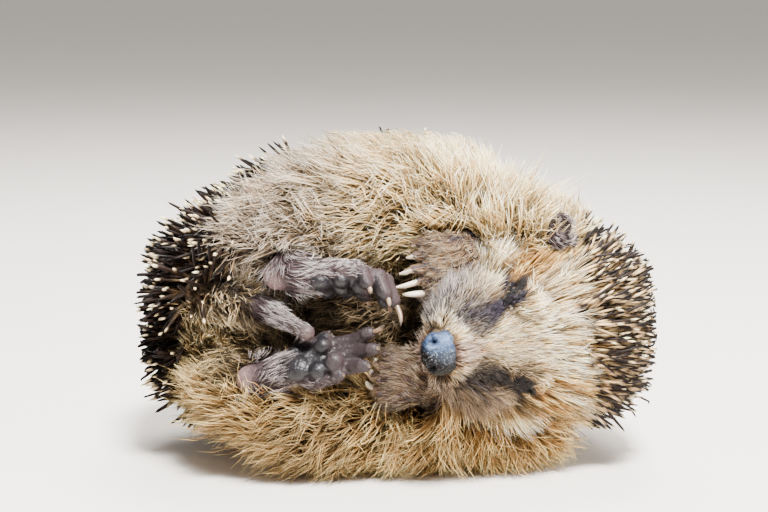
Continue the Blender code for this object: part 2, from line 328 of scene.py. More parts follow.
def paint(mesh: Mesh, name: str, colours: Array) -> None:
    """Stores a colour for each point of a mesh, as an attribute that its material reads.

    Args:
        mesh: The mesh.
        name: The attribute's name.
        colours: A row for each point.
    """
    layer = mesh.attributes.new(name, "FLOAT_COLOR", "POINT")
    rgba = np.ones((len(colours), 4), np.float32)
    rgba[:, :3] = colours
    layer.data.foreach_set("color", rgba.ravel())


# ---------------- anatomy


@dataclass
class Head:
    """The head in its own axes: back from the nose tip, up out of the crown, and right."""

    nose_tip: Vector = field(default_factory=lambda: Vector((8.0, -58.5, 42.6)))
    forward: Vector = field(default_factory=lambda: Vector((-0.68, -0.733, 0.0)).normalized())
    up: Vector = field(default_factory=lambda: Vector((0.733, -0.68, 0.17)).normalized())
    # A station is (back from the nose tip, height above the axis, depth below it, half width).
    stations: tuple = (
        (3.2, 4.4, 4.2, 4.6), (8.0, 6.0, 5.2, 6.4), (15.0, 7.9, 7.2, 9.0), (23.0, 10.2, 9.8, 12.4),
        (31.0, 13.0, 12.3, 16.2), (39.0, 15.6, 13.9, 20.2), (48.0, 18.0, 15.5, 23.6),
        (57.0, 19.6, 16.0, 24.6), (66.0, 19.6, 16.0, 23.0), (74.0, 17.0, 12.5, 19.0), (81.0, 8.5, 4.0, 9.0),
    )
    eye_back: float = 32.6
    eye_up: float = 6.0
    eye_out: float = 11.9
    eye_radius: float = 3.3
    lid_length: float = 10.6
    voxel: float = 0.75

    @property
    def right(self) -> Vector:
        """The head's own right-hand side."""
        return self.forward.cross(self.up).normalized()

    @property
    def axes(self) -> Array:
        """Back, up and right, a row each."""
        return np.array([-self.forward, self.up, self.right])

    def point(self, back: float, up: float = 0.0, right: float = 0.0) -> Vector:
        """A point given in the head's own axes."""
        return self.nose_tip - self.forward * back + self.up * up + self.right * right

    def local(self, points: Array) -> Array:
        """Turns points into (back, up, right) of the head."""
        return (points - np.array(self.nose_tip)) @ self.axes.T

    def eye_centre(self, side: int) -> Vector:
        """The middle of an eyeball; side is 1 for right and -1 for left."""
        return self.point(self.eye_back, self.eye_up, self.eye_out * side)

    @staticmethod
    def ear_centre(side: int) -> Vector:
        """The middle of an ear's cup."""
        return Vector((48.0, -26.6, 75.2)) if side > 0 else Vector((44.0, -25.2, 13.0))

    def lid_axes(self, side: int) -> tuple[Vector, Vector, Vector]:
        """Along the slit of the lids towards the ear, across it, and out of the eye."""
        out = (self.right * side * 0.74 + self.up * 0.56 + self.forward * 0.36).normalized()
        along = -self.forward * 0.82 + self.right * side * (0.85 if side > 0 else 1.30) + self.up * 0.12
        along = (along - out * along.dot(out)).normalized()
        return along, out.cross(along) * side, out

    def lid_local(self, points: Array, side: int) -> tuple[Array, Array, Array]:
        """Turns points into distances along the lids, across them and out of the eye.

        Args:
            points: The points.
            side: 1 for the right eye, -1 for the left.

        Returns:
            The three distances.
        """
        away = points - np.array(self.eye_centre(side))
        along, across, out = (away @ np.array(axis) for axis in self.lid_axes(side))
        return along, across, out

    def build(self) -> Object:
        """Models the bare head: snout, cheeks, brows, chin, sockets and closed lids."""
        clay = Clay()
        clay.rings([
            (self.point(back, (above - below) / 2), self.right, width, self.up, (above + below) / 2)
            for back, above, below, width in self.stations
        ])
        clay.ball(self.point(6.5, -1.4), (5.0, 4.0, 5.0))
        clay.chain([self.point(9, -5.0), self.point(22, -9.0), self.point(38, -12.0)], (2.6, 4.6, 6.5))
        for side, _ in SIDES:
            clay.chain(
                [
                    self.point(7, -1.0, 4.0 * side), self.point(15, -2.2, 7.6 * side),
                    self.point(24, -3.2, 10.5 * side),
                ],
                (2.8, 4.0, 5.4),
            )
            clay.ball(self.point(38, -4.0, 16.5 * side), (8.0, 8.0, 8.0))
            clay.ball(self.point(29, 10.4, 10.2 * side), (4.4, 3.2, 4.4))
            clay.ball(self.eye_centre(side), self.eye_radius + 0.75)
        body = clay.fuse("head_clay", self.voxel, 3)
        self.refine(body)
        self.carve(body)
        return body

    def refine(self, body: Object) -> None:
        """Divides the faces round the eyes and the mouth, so that they can be carved finely."""
        mesh = bmesh.new()
        mesh.from_mesh(body.data)
        centres = [self.eye_centre(side) * MM for side, _ in SIDES]
        for reach in (7.0, 5.6):
            near = [
                face for face in mesh.faces
                if min((face.calc_center_median() - centre).length for centre in centres) < reach * MM
            ]
            edges = {edge for face in near for edge in face.edges}
            bmesh.ops.subdivide_edges(mesh, edges=list(edges), cuts=1, use_grid_fill=True, smooth=0.0)
        mesh.to_mesh(body.data)
        mesh.free()

    def carve(self, body: Object) -> None:
        """Carves the slits between the lids, their rims and creases, and the line of the mouth."""
        mesh = body.data
        points, normals = positions(mesh), point_normals(mesh)
        moved = np.zeros(len(points))
        for side, _ in SIDES:
            s, d, h = self.lid_local(points, side)
            here = (h > 0.5) & (np.abs(s) < 9.0) & (np.abs(d) < 7.0)
            half = self.lid_length / 2
            bow = np.clip(1.0 - (s / half) ** 2, 0.0, 1.0)
            d = d + 0.55 * bow - 0.2
            gap = 0.54 * np.sqrt(bow)
            inside = ramp(0.24, -0.10, np.abs(d) - gap) * (np.abs(s) < half + 0.2)
            ends = ramp(half + 3.4, half - 0.5, np.abs(s))
            rim = 0.34 * np.exp(-(((np.abs(d) - gap - 0.55) / 0.42) ** 2)) * ends
            crease = -0.3 * np.exp(-(((d - 2.3) / 0.34) ** 2)) * ends
            crease += -0.26 * np.exp(-(((d + 2.0) / 0.34) ** 2)) * ends
            corner = -0.35 * np.exp(-((np.abs(d) / 0.4) ** 2)) * ramp(half + 3.0, half, np.abs(s))
            corner *= 1.0 - inside
            moved += np.where(here, -1.45 * inside + rim + crease + corner, 0.0)
        b, u, r = self.local(points).T
        line = -3.6 - 0.30 * np.clip(b - 6.0, 0.0, 40.0) + 0.012 * np.clip(b - 20.0, 0.0, 40.0) ** 2
        mouth = np.exp(-(((u - line) / 0.5) ** 2)) * ramp(5.5, 9.0, b) * ramp(30.0, 22.0, b)
        mouth *= ramp(1.5, 3.5, np.abs(r))
        moved -= 0.8 * mouth
        move_points(mesh, points + normals * moved[:, None])


@dataclass(frozen=True)
class Limb:
    """Where one foot lies, how it points, and how far its toes curl."""

    part: Part
    base: Triple  # heel or wrist
    forward: Triple
    sole: Triple
    side: int
    curl: float
    top: Triple  # where the shank or forearm enters the trunk

    @property
    def axes(self) -> tuple[Vector, Vector, Vector]:
        """Forward to the toes, inwards to the body's middle, and up out of the foot's back."""
        forward = Vector(self.forward).normalized()
        sole = Vector(self.sole)
        up = -(sole - forward * sole.dot(forward)).normalized()
        return forward, up.cross(forward) * self.side, up

    @property
    def curled(self) -> Vector:
        """The way the toes point beyond their knuckles."""
        forward, _, up = self.axes
        bend = math.radians(self.curl)
        return forward * math.cos(bend) - up * math.sin(bend)

    def past(self, knuckle: Vector, tip: Vector) -> tuple[Vector, Vector]:
        """The way on from a toe's knuckle through its tip, and the way down to its pad."""
        up = self.axes[2]
        beyond = (tip - knuckle).normalized()
        return beyond, -(up - beyond * up.dot(beyond)).normalized()

    def at(self, f: float, i: float = 0.0, u: float = 0.0) -> Vector:
        """A point in the foot's own axes, from its heel or wrist."""
        forward, inward, up = self.axes
        return Vector(self.base) + forward * f + inward * i + up * u

    def local(self, points: Array) -> Array:
        """Turns points into (forward, inward, up) of the foot."""
        return (points - np.array(self.base)) @ np.array(self.axes).T


@dataclass(frozen=True)
class Claw:
    """One claw: its root and tip, the way its back faces, its thickness and its hook."""

    root: Vector
    tip: Vector
    back: Vector
    radius: float
    hook: float


@dataclass
class HindFoot:
    """A long sole on its heel, five toes with round pads, and the shank."""

    limb: Limb
    length: float = 38.0
    plump: float = 1.0  # swells the digits
    # A digit is (start along the foot, start inwards, length, spread, radius, claw).
    digits: tuple = (
        (0.58, 4.7, 7.0, 0.5, 2.3, 3.2), (0.68, 3.6, 10.6, 0.2, 2.65, 4.2), (0.71, 0.5, 12.4, 0.0, 2.8, 8.0),
        (0.68, -2.7, 11.2, -0.2, 2.7, 4.6), (0.61, -5.0, 8.2, -0.5, 2.35, 3.4),
    )
    # A sole pad is (share along the foot, inwards, depth, half length, half width, half height).
    pads: tuple = (
        (0.40, -2.6, -2.5, 3.2, 3.3, 2.5), (0.42, 3.2, -2.3, 2.9, 3.0, 2.3),
        (0.565, -4.3, -2.2, 2.4, 2.4, 2.2), (0.555, 0.4, -2.7, 2.4, 2.3, 2.2),
        (0.57, 4.6, -2.0, 2.2, 2.1, 2.0), (0.715, -1.9, -2.7, 3.0, 3.2, 2.7),
        (0.70, 3.4, -2.3, 2.5, 2.6, 2.3),
    )

    def build(self) -> tuple[Object, list[Claw]]:
        """Models the foot and lists its claws."""
        limb = self.limb
        forward, inward, up = limb.axes
        clay = Clay(-0.45)
        clay.bar(limb.at(1.6, 0.0, 0.0), limb.at(14, 0, 0.8), 4.5, 5.0)
        clay.bar(limb.at(14, 0, 0.8), limb.at(24, 2.4, 1.3), 5.0, 4.3)
        clay.bar(limb.at(14, 0, 0.8), limb.at(24, -2.6, 1.1), 5.0, 4.3)
        clay.bar(limb.at(6, 0, 2), limb.top, 5.7, 8.0)
        clay.bar(limb.at(1.0, 0, 3.4), Vector(limb.at(6, 0, 2)).lerp(Vector(limb.top), 0.7), 2.4, 3.4)
        turn = axes_matrix(Vector(), forward, inward, up)
        for share, across, depth, *radii in self.pads:
            clay.ball(limb.at(share * self.length, across, depth), [radius + 0.45 for radius in radii], turn)
        claws = []
        for share, across, length, spread, size, claw in self.digits:
            radius = size * self.plump
            root = limb.at(share * self.length - 3.0, across, 0.6)
            knuckle = root + forward * (length * 0.5 + 3.0) + inward * spread * 0.6
            tip = knuckle + limb.curled * length * 0.55 + inward * spread
            beyond, below = limb.past(knuckle, tip)
            clay.chain([root, knuckle, tip], (radius + 0.2, radius * 1.02, radius * 0.90))
            clay.ball(tip + below * 0.5 - beyond * 1.0, radius * 0.84 + 0.2)
            clay.ball(knuckle - below * 0.5, radius * 0.95)
            end = tip + beyond * claw + below * 0.12 * claw
            claws.append(Claw(tip + beyond * radius * 0.1, end, -below, 0.80, 0.10 * claw))
        return clay.fuse(limb.part.name.lower() + "_clay", 0.52, 2), claws


@dataclass
class FrontPaw:
    """A short broad hand with five close fingers, and the forearm."""

    limb: Limb
    length: float = 18.5
    pitch: float = 3.8  # from finger to finger
    # Length and thickness of each claw, from the outer finger to the inner.
    claws: tuple = ((1.8, 0.80), (2.7, 0.90), (4.2, 1.00), (7.0, 1.05), (6.4, 1.30))
    leans: tuple = (0.9, 0.2, 0.9, 0.8, -0.7)  # how far each claw's tip leans inwards

    def build(self) -> tuple[Object, list[Claw]]:
        """Models the paw and lists its claws."""
        limb = self.limb
        forward, inward, _ = limb.axes
        clay = Clay(-0.55)
        clay.bar(limb.at(0.0), limb.top, 6.2, 8.4)
        for n in (-1.5, -0.5, 0.5, 1.5):
            knuckle = limb.at(self.length * 0.5, n * self.pitch, 0.8)
            clay.bar(limb.at(0.0, n * self.pitch * 0.5), knuckle, 5.0, 3.9)
        for n in (-1.2, 0.0, 1.2):
            clay.ball(limb.at(self.length * 0.42, n * self.pitch, -2.6), 2.8)
        claws = []
        for n in range(5):
            middle = 1.0 - abs(n - 2) * 0.17
            root = limb.at(self.length * 0.46, (n - 2) * self.pitch, 0.8)
            knuckle = root + forward * self.length * 0.22 * middle
            tip = knuckle + limb.curled * self.length * 0.16 * middle
            beyond, below = limb.past(knuckle, tip)
            clay.chain([root, knuckle, tip], (2.45, 2.1, 1.8))
            clay.ball(knuckle - below * 0.45, 2.1)
            clay.ball(tip + below * 0.5, 1.85)
            reach, thick = self.claws[n]
            lean = inward * self.leans[n]
            end = tip + beyond * reach + below * 0.9 + lean
            claws.append(Claw(tip + beyond * 0.2, end, -below, thick, 0.15 * reach))
        return clay.fuse(limb.part.name.lower() + "_clay", 0.54, 2), claws


LIMBS = {
    limb.part: limb
    for limb in (
        Limb(Part.HIND_RIGHT, (-36.5, -36.5, 61.5), (0.98, -0.17, -0.03), (0.0, -0.55, -0.83), 1, 62.0,
             (-27.0, -20.0, 73.0)),
        Limb(Part.HIND_LEFT, (-44.5, -39.5, 31.0), (0.93, -0.2, 0.31), (0.0, -0.75, 0.66), -1, 26.0,
             (-31.0, -24.0, 21.0)),
        Limb(Part.FRONT_RIGHT, (19.0, -29.5, 65.2), (-0.93, -0.3, -0.14), (-0.3, 0.92, 0.0), 1, 8.0,
             (26.0, -8.0, 68.0)),
        Limb(Part.FRONT_LEFT, (7.0, -41.0, 32.2), (-0.94, -0.22, 0.05), (-0.2, 0.96, 0.1), -1, 66.0,
             (18.0, -21.0, 19.0)),
    )
}


# How the two left feet differ from the right ones: pads, digits and claws are pressed by their pose.
LEFT_SHAPES = {
    Part.HIND_LEFT: {
        "plump": 1.10,
        "pads": (
            (0.46, -2.3, -2.3, 4.2, 4.1, 2.7), (0.45, 3.8, -1.7, 2.2, 2.2, 1.8),
            (0.62, -4.8, -2.1, 2.6, 2.8, 2.4), (0.68, 2.6, -2.3, 2.6, 2.7, 2.4),
            (0.76, -3.4, -2.5, 2.9, 3.0, 2.6),
        ),
        "digits": (
            (0.54, 5.2, 6.0, 0.4, 2.3, 2.0), (0.74, 3.9, 12.4, -0.9, 2.35, 6.2),
            (0.75, 0.2, 12.6, -2.0, 2.30, 2.8), (0.71, -3.5, 10.8, -2.4, 2.25, 2.4),
            (0.60, -6.0, 7.0, -1.0, 2.0, 2.0),
        ),
    },
    Part.FRONT_LEFT: {"claws": ((2.4, 0.8), (6.0, 1.05), (2.6, 0.9), (2.4, 0.8), (2.2, 0.8))},
}


@dataclass
class Trunk:
    """The curled trunk under its coat: back, rump, shoulders, belly and the skirts of both flanks."""

    quill_depth: float = 11.0
    fur_depth: float = 7.5
    voxel: float = 1.7

    def build(self) -> Object:
        """Models the bare trunk."""
        clay = Clay()
        deep, furry = self.quill_depth, self.fur_depth
        clay.ball((-4.0, 14.0, 49.0), (64.5 - deep, 47.0 - deep, 49.7 - 8.5))
        clay.ball((-43.0, 3.0, 42.5), (37.0 - deep, 41.0 - deep, 38.0 - 8.5))
        clay.ball((33.0, 15.0, 44.0), (35.0 - deep, 39.0 - deep, 38.5 - 8.5))
        clay.ball((45.0, 6.0, 42.0), (27.0 - deep, 27.0 - deep, 31.0 - 8.5))
        clay.ball((-6.0, 0.0, 47.0), (46.0 - 4.0, 18.0, 34.0 - 4.0))
        clay.ball((37.0, -15.5, 68.5), 11.0)
        clay.ball((46.0, -11.0, 66.0), 10.0)
        clay.swell = -furry
        clay.chain(
            [(-42.0, -18.0, 66.0), (-24.0, -19.0, 76.0), (3.0, -16.0, 79.0), (30.0, -13.0, 71.0)],
            (17.0, 18.5, 18.5, 17.0),
        )
        clay.chain(
            [(-45.0, -26.0, 28.0), (-28.0, -28.0, 18.8), (6.0, -24.0, 16.5), (36.0, -20.0, 18.0)],
            (18.5, 18.5, 16.5, 17.5),
        )
        return clay.fuse("trunk_clay", self.voxel, 5)


@dataclass
class Tail:
    """The short round-tipped tail between the hind feet."""

    points: tuple = ((-58.0, -19.0, 53.0), (-48.0, -30.0, 53.5), (-36.0, -38.5, 50.5), (-27.5, -44.2, 47.0))
    radii: tuple = (6.0, 3.9, 2.8, 1.9)
    knob: tuple = (-26.0, -45.0, 46.3)

    def build(self) -> Object:
        """Models the tail with its knobbed tip."""
        clay = Clay()
        clay.chain(self.points, self.radii)
        clay.ball(self.knob, 2.3)
        return clay.fuse("tail_clay", 0.55, 3)


@dataclass
class Ear:
    """One rounded ear: a thin cupped shell that stands out of the head's side."""

    head: Head
    side: int

    def build(self) -> Object:
        """Models the shell with the hollow of its cup."""
        head = self.head
        out = (head.right * self.side + head.up * 0.35).normalized()
        thin = (head.forward * 0.8 + head.up * 0.5).normalized()
        wide = out.cross(thin).normalized()
        thin = wide.cross(out).normalized()
        turn = axes_matrix(Vector(), wide, thin, out)
        centre = head.ear_centre(self.side)
        clay = Clay()
        clay.ball(centre, (3.3, 1.3, 3.5), turn)
        clay.ball(centre - out * 3.6, (3.8, 2.8, 3.8), turn)
        body = clay.fuse("ear_clay", 0.55, 2)
        hollow = Clay()
        hollow.ball(centre + thin * 2.0 + out * 0.3, (2.6, 2.5, 2.7), turn)
        cutter = hollow.fuse("ear_hollow", 0.5, 2)
        combine(body, cutter, "DIFFERENCE")
        return body


def combine(body: Object, other: Object, operation: str = "UNION") -> None:
    """Unites another closed body with this one, or cuts it away, and removes the other.

    Args:
        body: The body that stays.
        other: The one that goes.
        operation: "UNION" or "DIFFERENCE".
    """
    joint = body.modifiers.new("joint", "BOOLEAN")
    joint.operation = operation
    joint.solver = "MANIFOLD"
    joint.object = other
    apply_modifiers(body)
    bpy.data.objects.remove(other)


# ---------------- markings


@dataclass(frozen=True)
class Shade:
    """A hair's colours: at its root, along its middle and at its tip."""

    root: Triple
    middle: Triple
    tip: Triple

    def rows(self, count: int) -> Array:
        """The three colours, repeated for a number of hairs."""
        return np.tile(np.array([self.root, self.middle, self.tip]), (count, 1, 1))


STRAW = Shade((0.036, 0.020, 0.008), (0.72, 0.465, 0.170), (0.99, 0.90, 0.57))
COOL = Shade((0.012, 0.008, 0.007), (0.135, 0.093, 0.072), (0.88, 0.74, 0.60))
GOLD = Shade((0.030, 0.013, 0.004), (0.33, 0.155, 0.032), (0.99, 0.72, 0.29))
# The belly's own dark fur; it also serves as painted shade in the hollow between the flanks and, doubled, on
# the lower left of the jaw.
BELLY = Shade((0.010, 0.007, 0.005), (0.045, 0.029, 0.016), (0.21, 0.135, 0.070))
CREAM = Shade((0.054, 0.032, 0.014), (0.72, 0.53, 0.270), (0.99, 0.96, 0.80))
TAN = Shade((0.047, 0.020, 0.006), (0.54, 0.270, 0.066), (0.99, 0.74, 0.34))
MUZZLE = Shade((0.009, 0.007, 0.007), (0.060, 0.049, 0.047), (0.44, 0.38, 0.34))
FUZZ = Shade((0.040, 0.022, 0.020), (0.24, 0.145, 0.120), (0.70, 0.50, 0.40))
STRIPE = Shade((0.005, 0.004, 0.006), (0.011, 0.009, 0.014), (0.062, 0.050, 0.074))
LIDS = Shade((0.004, 0.003, 0.003), (0.008, 0.006, 0.007), (0.030, 0.022, 0.024))
SILVER = Shade((0.018, 0.012, 0.012), (0.088, 0.061, 0.062), (0.72, 0.62, 0.60))
EAR_DOWN = Shade((0.010, 0.006, 0.004), (0.050, 0.031, 0.017), (0.42, 0.30, 0.18))

QUILL_PALE = (0.84, 0.60, 0.31)
QUILL_TAN = (0.40, 0.190, 0.058)
QUILL_DARK = (0.010, 0.0062, 0.0050)
QUILL_TIP = (0.92, 0.72, 0.43)

# Painted light: how bright each foot's hair is made, by how that foot lies in the light.
FOOT_PAINTED_LIGHT = {
    Part.FRONT_RIGHT: 0.90, Part.FRONT_LEFT: 0.40, Part.HIND_LEFT: 0.72, Part.HIND_RIGHT: 1.42,
}

SKIN_UNDER_FUR = (0.050, 0.036, 0.029)
SKIN_FOOT = (0.040, 0.025, 0.027)
SKIN_PAW = (0.066, 0.055, 0.066)
SKIN_HEEL = (0.150, 0.096, 0.094)
SKIN_PAD = (0.0095, 0.0086, 0.0105)
SKIN_LID = (0.0035, 0.0028, 0.0032)
SKIN_EAR = (0.012, 0.009, 0.009)


@dataclass
class Markings:
    """Where each colour lies on the animal; skin and coat both ask it."""

    head: Head

    def mantle(self, points: Array, parts: Array) -> Array:
        """How far each point lies within the mantle of quills, from 0 to 1.

        Args:
            points: The points.
            parts: Their body parts.

        Returns:
            A share for each point.
        """
        x, y, z = points.T
        upper = 34.0 - 67.0 * ramp(-22.0, -58.0, x) ** 0.8
        lower = 34.0 - 57.0 * ramp(-30.0, -74.0, x)
        left = lower + (upper - lower) * ramp(44.0, 58.0, z)
        right = 34.0 - 46.0 * ramp(32.0, 64.0, x)
        edge = np.where(x < 0.0, left, right) + 3.0 * drift(points, 14.0, 4.0)
        back = ramp(-2.5, 2.5, y - edge)
        b, _, r = self.head.local(points).T
        line = 43.0 + 0.010 * r * r + 1.6 * drift(points, 9.0, 1.0)
        crown = ramp(-1.5, 1.5, b - line)
        head = parts == Part.HEAD.value
        trunk = parts == Part.TRUNK.value
        return np.where(head, crown, np.where(trunk, back, 0.0))

    def stripe(self, points: Array) -> Array:
        """The dark line from each side of the snout through the eye, from 0 to 1."""
        b, u, r = self.head.local(points).T
        off = np.abs(r) - np.where(r > 0.0, 6.1, 6.9) - 0.055 * np.clip(b - 13.0, 0.0, 40.0) ** 1.75
        wide = (4.0 - 2.6 * ramp(14.0, 28.0, b)) * np.where(r > 0.0, 1.0, 0.95)
        along = ramp(7.5, 11.5, b) * ramp(36.0, 32.0, b)
        along = along * (0.86 + 0.14 * ramp(14.0, 22.0, b))
        ragged = 1.0 + 0.30 * drift(points, 2.2, 11.0)
        return ramp(1.4, 0.5, np.abs(off) / wide * ragged) * along * ramp(-3.5, 0.5, u)

    @staticmethod
    def hollow(points: Array) -> Array:
        """How deep each point lies in the hollow between the flanks, from 0 to 1."""
        _, y, z = points.T
        return ramp(24.0, 14.0, np.abs(z - MIDDLE)) * ramp(8.0, -4.0, y)

    def lids(self, points: Array) -> Array:
        """The dark hair on the lids and just round them, from 0 to 1."""
        dark = np.zeros(len(points))
        for side, _ in SIDES:
            s, d, h = self.head.lid_local(points, side)
            shift, half = (0.95, 1.75) if side > 0 else (0.3, 1.6)
            here = ramp(1.3, 0.8, np.hypot((s + 0.8) / 7.4, (d + shift) / half)) * (h > -1.0)
            dark = np.maximum(dark, here)
        return dark

    def hair(self, points: Array, parts: Array) -> Array:
        """The root, middle and tip colours of a hair at each point, as (count, 3, 3).

        Args:
            points: The hairs' roots.
            parts: Their body parts.

        Returns:
            The colours.
        """
        head = (parts == Part.HEAD.value)[:, None, None]
        feet = np.isin(parts, [part.value for part in FEET + (Part.TAIL,)])[:, None, None]
        ears = np.isin(parts, [part.value for part in EARS])[:, None, None]
        colours = np.where(head, self.head_hair(points, parts), self.trunk_hair(points))
        colours = np.where(feet, self.foot_hair(points, parts), colours)
        return np.where(ears, EAR_DOWN.rows(len(points)), colours)

    @staticmethod
    def trunk_hair(points: Array) -> Array:
        """The colours of the fur: cool on the upper flank, golden on the lower, dark on the belly; painted
        shade darkens the low rear of the body and deepens the hollow between the flanks.
        """
        count = len(points)
        x, y, z = points.T
        wave = 0.5 + 0.5 * drift(points, 26.0, 2.0)
        share = ramp(8.0, -36.0, x) * ramp(40.0, 66.0, z) * 0.80 + 0.25 * wave
        fur = mix(STRAW.rows(count), COOL.rows(count), np.clip(share, 0.0, 1.0)[:, None])
        low = ramp(40.0, 22.0, z) * 0.75
        low = low + ramp(5.0, 30.0, x) * 0.14 * ramp(85.0, 60.0, z)
        fur = mix(fur, GOLD.rows(count), np.clip(low + 0.3 * drift(points, 17.0, 7.0), 0.0, 1.0)[:, None])
        # Painted shade: the fur darkens towards the bottom of the body, more so towards the rear.
        fur = fur * (1.0 - 0.34 * ramp(46.0, 22.0, z) * ramp(20.0, -15.0, x))[:, None, None]
        # The belly's own darker fur, deepened as painted shade in the hollow between the flanks.
        pocket = ramp(21.0, 12.0, np.abs(z - MIDDLE)) * ramp(52.0, 34.0, np.abs(x + 6.0))
        pocket *= ramp(12.0, 0.0, y)
        return mix(fur, BELLY.rows(count), (0.9 * pocket)[:, None])

    def head_hair(self, points: Array, parts: Array) -> Array:
        """The colours of the face: pale brow and cheeks, grey muzzle, dark lids and stripes, with painted
        shade on the lower left of the jaw and under the crown's quills.
        """
        count = len(points)
        b, u, r = self.head.local(points).T
        side = np.abs(r)
        streak = drift(np.stack([r / b * 60.0, b * 0.3, u / b * 40.0], axis=1), 6.0, 3.0)
        fine = drift(np.stack([r / b * 60.0, b * 0.22, u / b * 45.0], axis=1), 2.4, 8.0)
        blaze = np.exp(-(((side - 2.4 - (b - 14.0) * 0.22) / (2.0 + 0.10 * b)) ** 2))
        cheek = ramp(1.0, 5.0, side - (8.4 + (b - 14.0) * 0.44))
        warm = 0.60 - 0.62 * cheek - 0.75 * blaze + (1.25 - 0.75 * cheek) * streak
        warm = warm + 0.40 * ramp(32.0, 46.0, b) * (1.0 - cheek)
        grey = ramp(29.0, 18.0, b) * ramp(4.0, 8.0, side) * 0.75
        grey += ramp(2.0, -5.0, u) * ramp(34.0, 20.0, b) * 0.5
        # Painted shade: the left side of the snout and jaw, which faces down, turns a darker brown.
        jaw = ramp(-4.5, -8.0, r) * ramp(35.0, 25.0, b) * (0.85 + 0.15 * streak)
        near = ramp(17.0, 10.0, b + 0.15 * side)
        fuzz = 0.85 * near * ramp(5.0, 2.0, np.abs(r + 0.8))
        lip = 0.55 * near * ramp(2.0, 4.5, r) * ramp(-3.0, 0.0, u)

        face = mix(CREAM.rows(count), TAN.rows(count), np.clip(warm, 0.0, 1.0)[:, None])
        face = face * np.exp(1.20 * fine + 0.20 * streak + 0.22 * cheek)[:, None, None]
        # The fur under the crown's quills keeps its gold-brown, dimmed as painted shade between the quills.
        face = mix(face, GOLD.rows(count) * 0.40, (0.85 * self.mantle(points, parts))[:, None])
        face = mix(face, MUZZLE.rows(count), np.clip(grey, 0.0, 1.0)[:, None])
        face = mix(face, BELLY.rows(count) * 2.0, np.clip(jaw, 0.0, 1.0)[:, None])
        face = mix(face, FUZZ.rows(count), fuzz[:, None])
        face = mix(face, CREAM.rows(count), lip[:, None])
        stripe = STRIPE.rows(count) * np.where(r > 0.0, 1.0, 0.9)[:, None, None]
        stripe[:, :, 2] *= np.where(r > 0.0, 1.0, 0.62)[:, None]
        face = mix(face, stripe, self.stripe(points)[:, None])
        return mix(face, LIDS.rows(count), self.lids(points)[:, None])

    @staticmethod
    def foot_hair(points: Array, parts: Array) -> Array:
        """The colours of the sleek hair on the feet, each painted as bright as it lies in the light, with
        painted shade at the edges of the front paws.
        """
        count = len(points)
        paws = np.isin(parts, [part.value for part in FRONT_FEET])
        paw = mix(SILVER.rows(count), TAN.rows(count), (0.45 * paws)[:, None])
        for part, amount in FOOT_PAINTED_LIGHT.items():
            f, i, _ = LIMBS[part].local(points).T
            # Painted shade: the front paws' hair darkens towards their edges.
            edge = ramp(4.0, 9.5, np.hypot(i, np.minimum(f, 0.0))) * (part in FRONT_FEET)
            paw = paw * np.where(parts == part.value, amount * (1.0 - 0.55 * edge), 1.0)[:, None, None]
        return paw

    def pads(self, limb: Limb, points: Array, normals: Array) -> Array:
        """How naked a foot's skin is at each point: 1 on the pads of sole and toes.

        Args:
            limb: The foot.
            points: The points.
            normals: The skin's normals there.

        Returns:
            A share for each point.
        """
        f, _, u = limb.local(points).T
        forward, _, up = np.array(limb.axes)
        hind = limb.part in HIND_FEET
        start, toes = (11.5, 25.5) if hind else (5.0, 12.0)
        bend = math.radians(limb.curl)
        back = up * math.cos(bend) + forward * math.sin(bend)
        toe = ramp(toes - 2.0, toes + 2.0, f)
        sole = ramp(-0.9, -2.2, u) * ramp(start - 1.0, start + 1.5, f)
        sole = sole * ramp(toes + 4.0, toes + 1.0, f)
        bare_toes = 0.85 if limb.part is not Part.HIND_LEFT else 0.52
        return np.maximum(sole, bare_toes * toe * ramp(0.15, -0.3, normals @ back))

    def heel(self, limb: Limb, points: Array) -> Array:
        """How much of each point belongs to the naked knob of a heel."""
        if limb.part not in HIND_FEET:
            return np.zeros(len(points))
        away = np.linalg.norm(points - np.array(limb.at(-0.5, 0.0, -1.8)), axis=1)
        return ramp(6.4, 3.0, away)

    def skin(self, points: Array, normals: Array, parts: Array) -> Array:
        """The colour of the skin at each point.

        Args:
            points: The points.
            normals: Their normals.
            parts: Their body parts.

        Returns:
            A colour for each point.
        """
        hair = self.hair(points, parts)
        hairy = hair[:, 0] * 0.9 + hair[:, 1] * 0.1
        bare = mix(np.array(SKIN_UNDER_FUR), hairy, np.full(len(points), 0.7))
        stripe = np.maximum(self.stripe(points), self.lids(points)) * (parts == Part.HEAD.value)
        bare = mix(bare, np.array(SKIN_LID), stripe)
        for limb in LIMBS.values():
            here = parts == limb.part.value
            plain_skin = SKIN_PAW if limb.part is Part.FRONT_RIGHT else SKIN_FOOT
            foot = mix(np.array(plain_skin), np.array(SKIN_HEEL), self.heel(limb, points))
            foot = mix(foot, np.array(SKIN_PAD), self.pads(limb, points, normals))
            foot = foot * (1.0 + 0.10 * drift(points, 5.0, 6.0))[:, None]
            bare = np.where(here[:, None], foot, bare)
        for (side, _), part in zip(SIDES, EARS):
            away = np.linalg.norm(points - np.array(self.head.ear_centre(side)), axis=1)
            # Painted shade: the skin darkens to near black towards the middle of the ear's hollow.
            cup = mix(np.array(SKIN_LID) * 0.5, np.array(SKIN_EAR), ramp(4.2, 6.2, away))
            bare = np.where((parts == part.value)[:, None], cup, bare)
        tail = mix(np.array(SKIN_FOOT) * 0.75, np.array(SKIN_HEEL) * 0.5, self.knob(points))
        return np.where((parts == Part.TAIL.value)[:, None], tail, bare)

    @staticmethod
    def knob(points: Array) -> Array:
        """How much of each point belongs to the naked tip of the tail."""
        return ramp(3.9, 2.3, np.linalg.norm(points - np.array(Tail.knob), axis=1))


# ---------------- the skin as a ground for hair


@dataclass
class Roots:
    """Points of the skin that hairs grow from."""

    points: Array
    normals: Array
    parts: Array
    uv: Array

    def __len__(self) -> int:
        """How many roots there are."""
        return len(self.points)


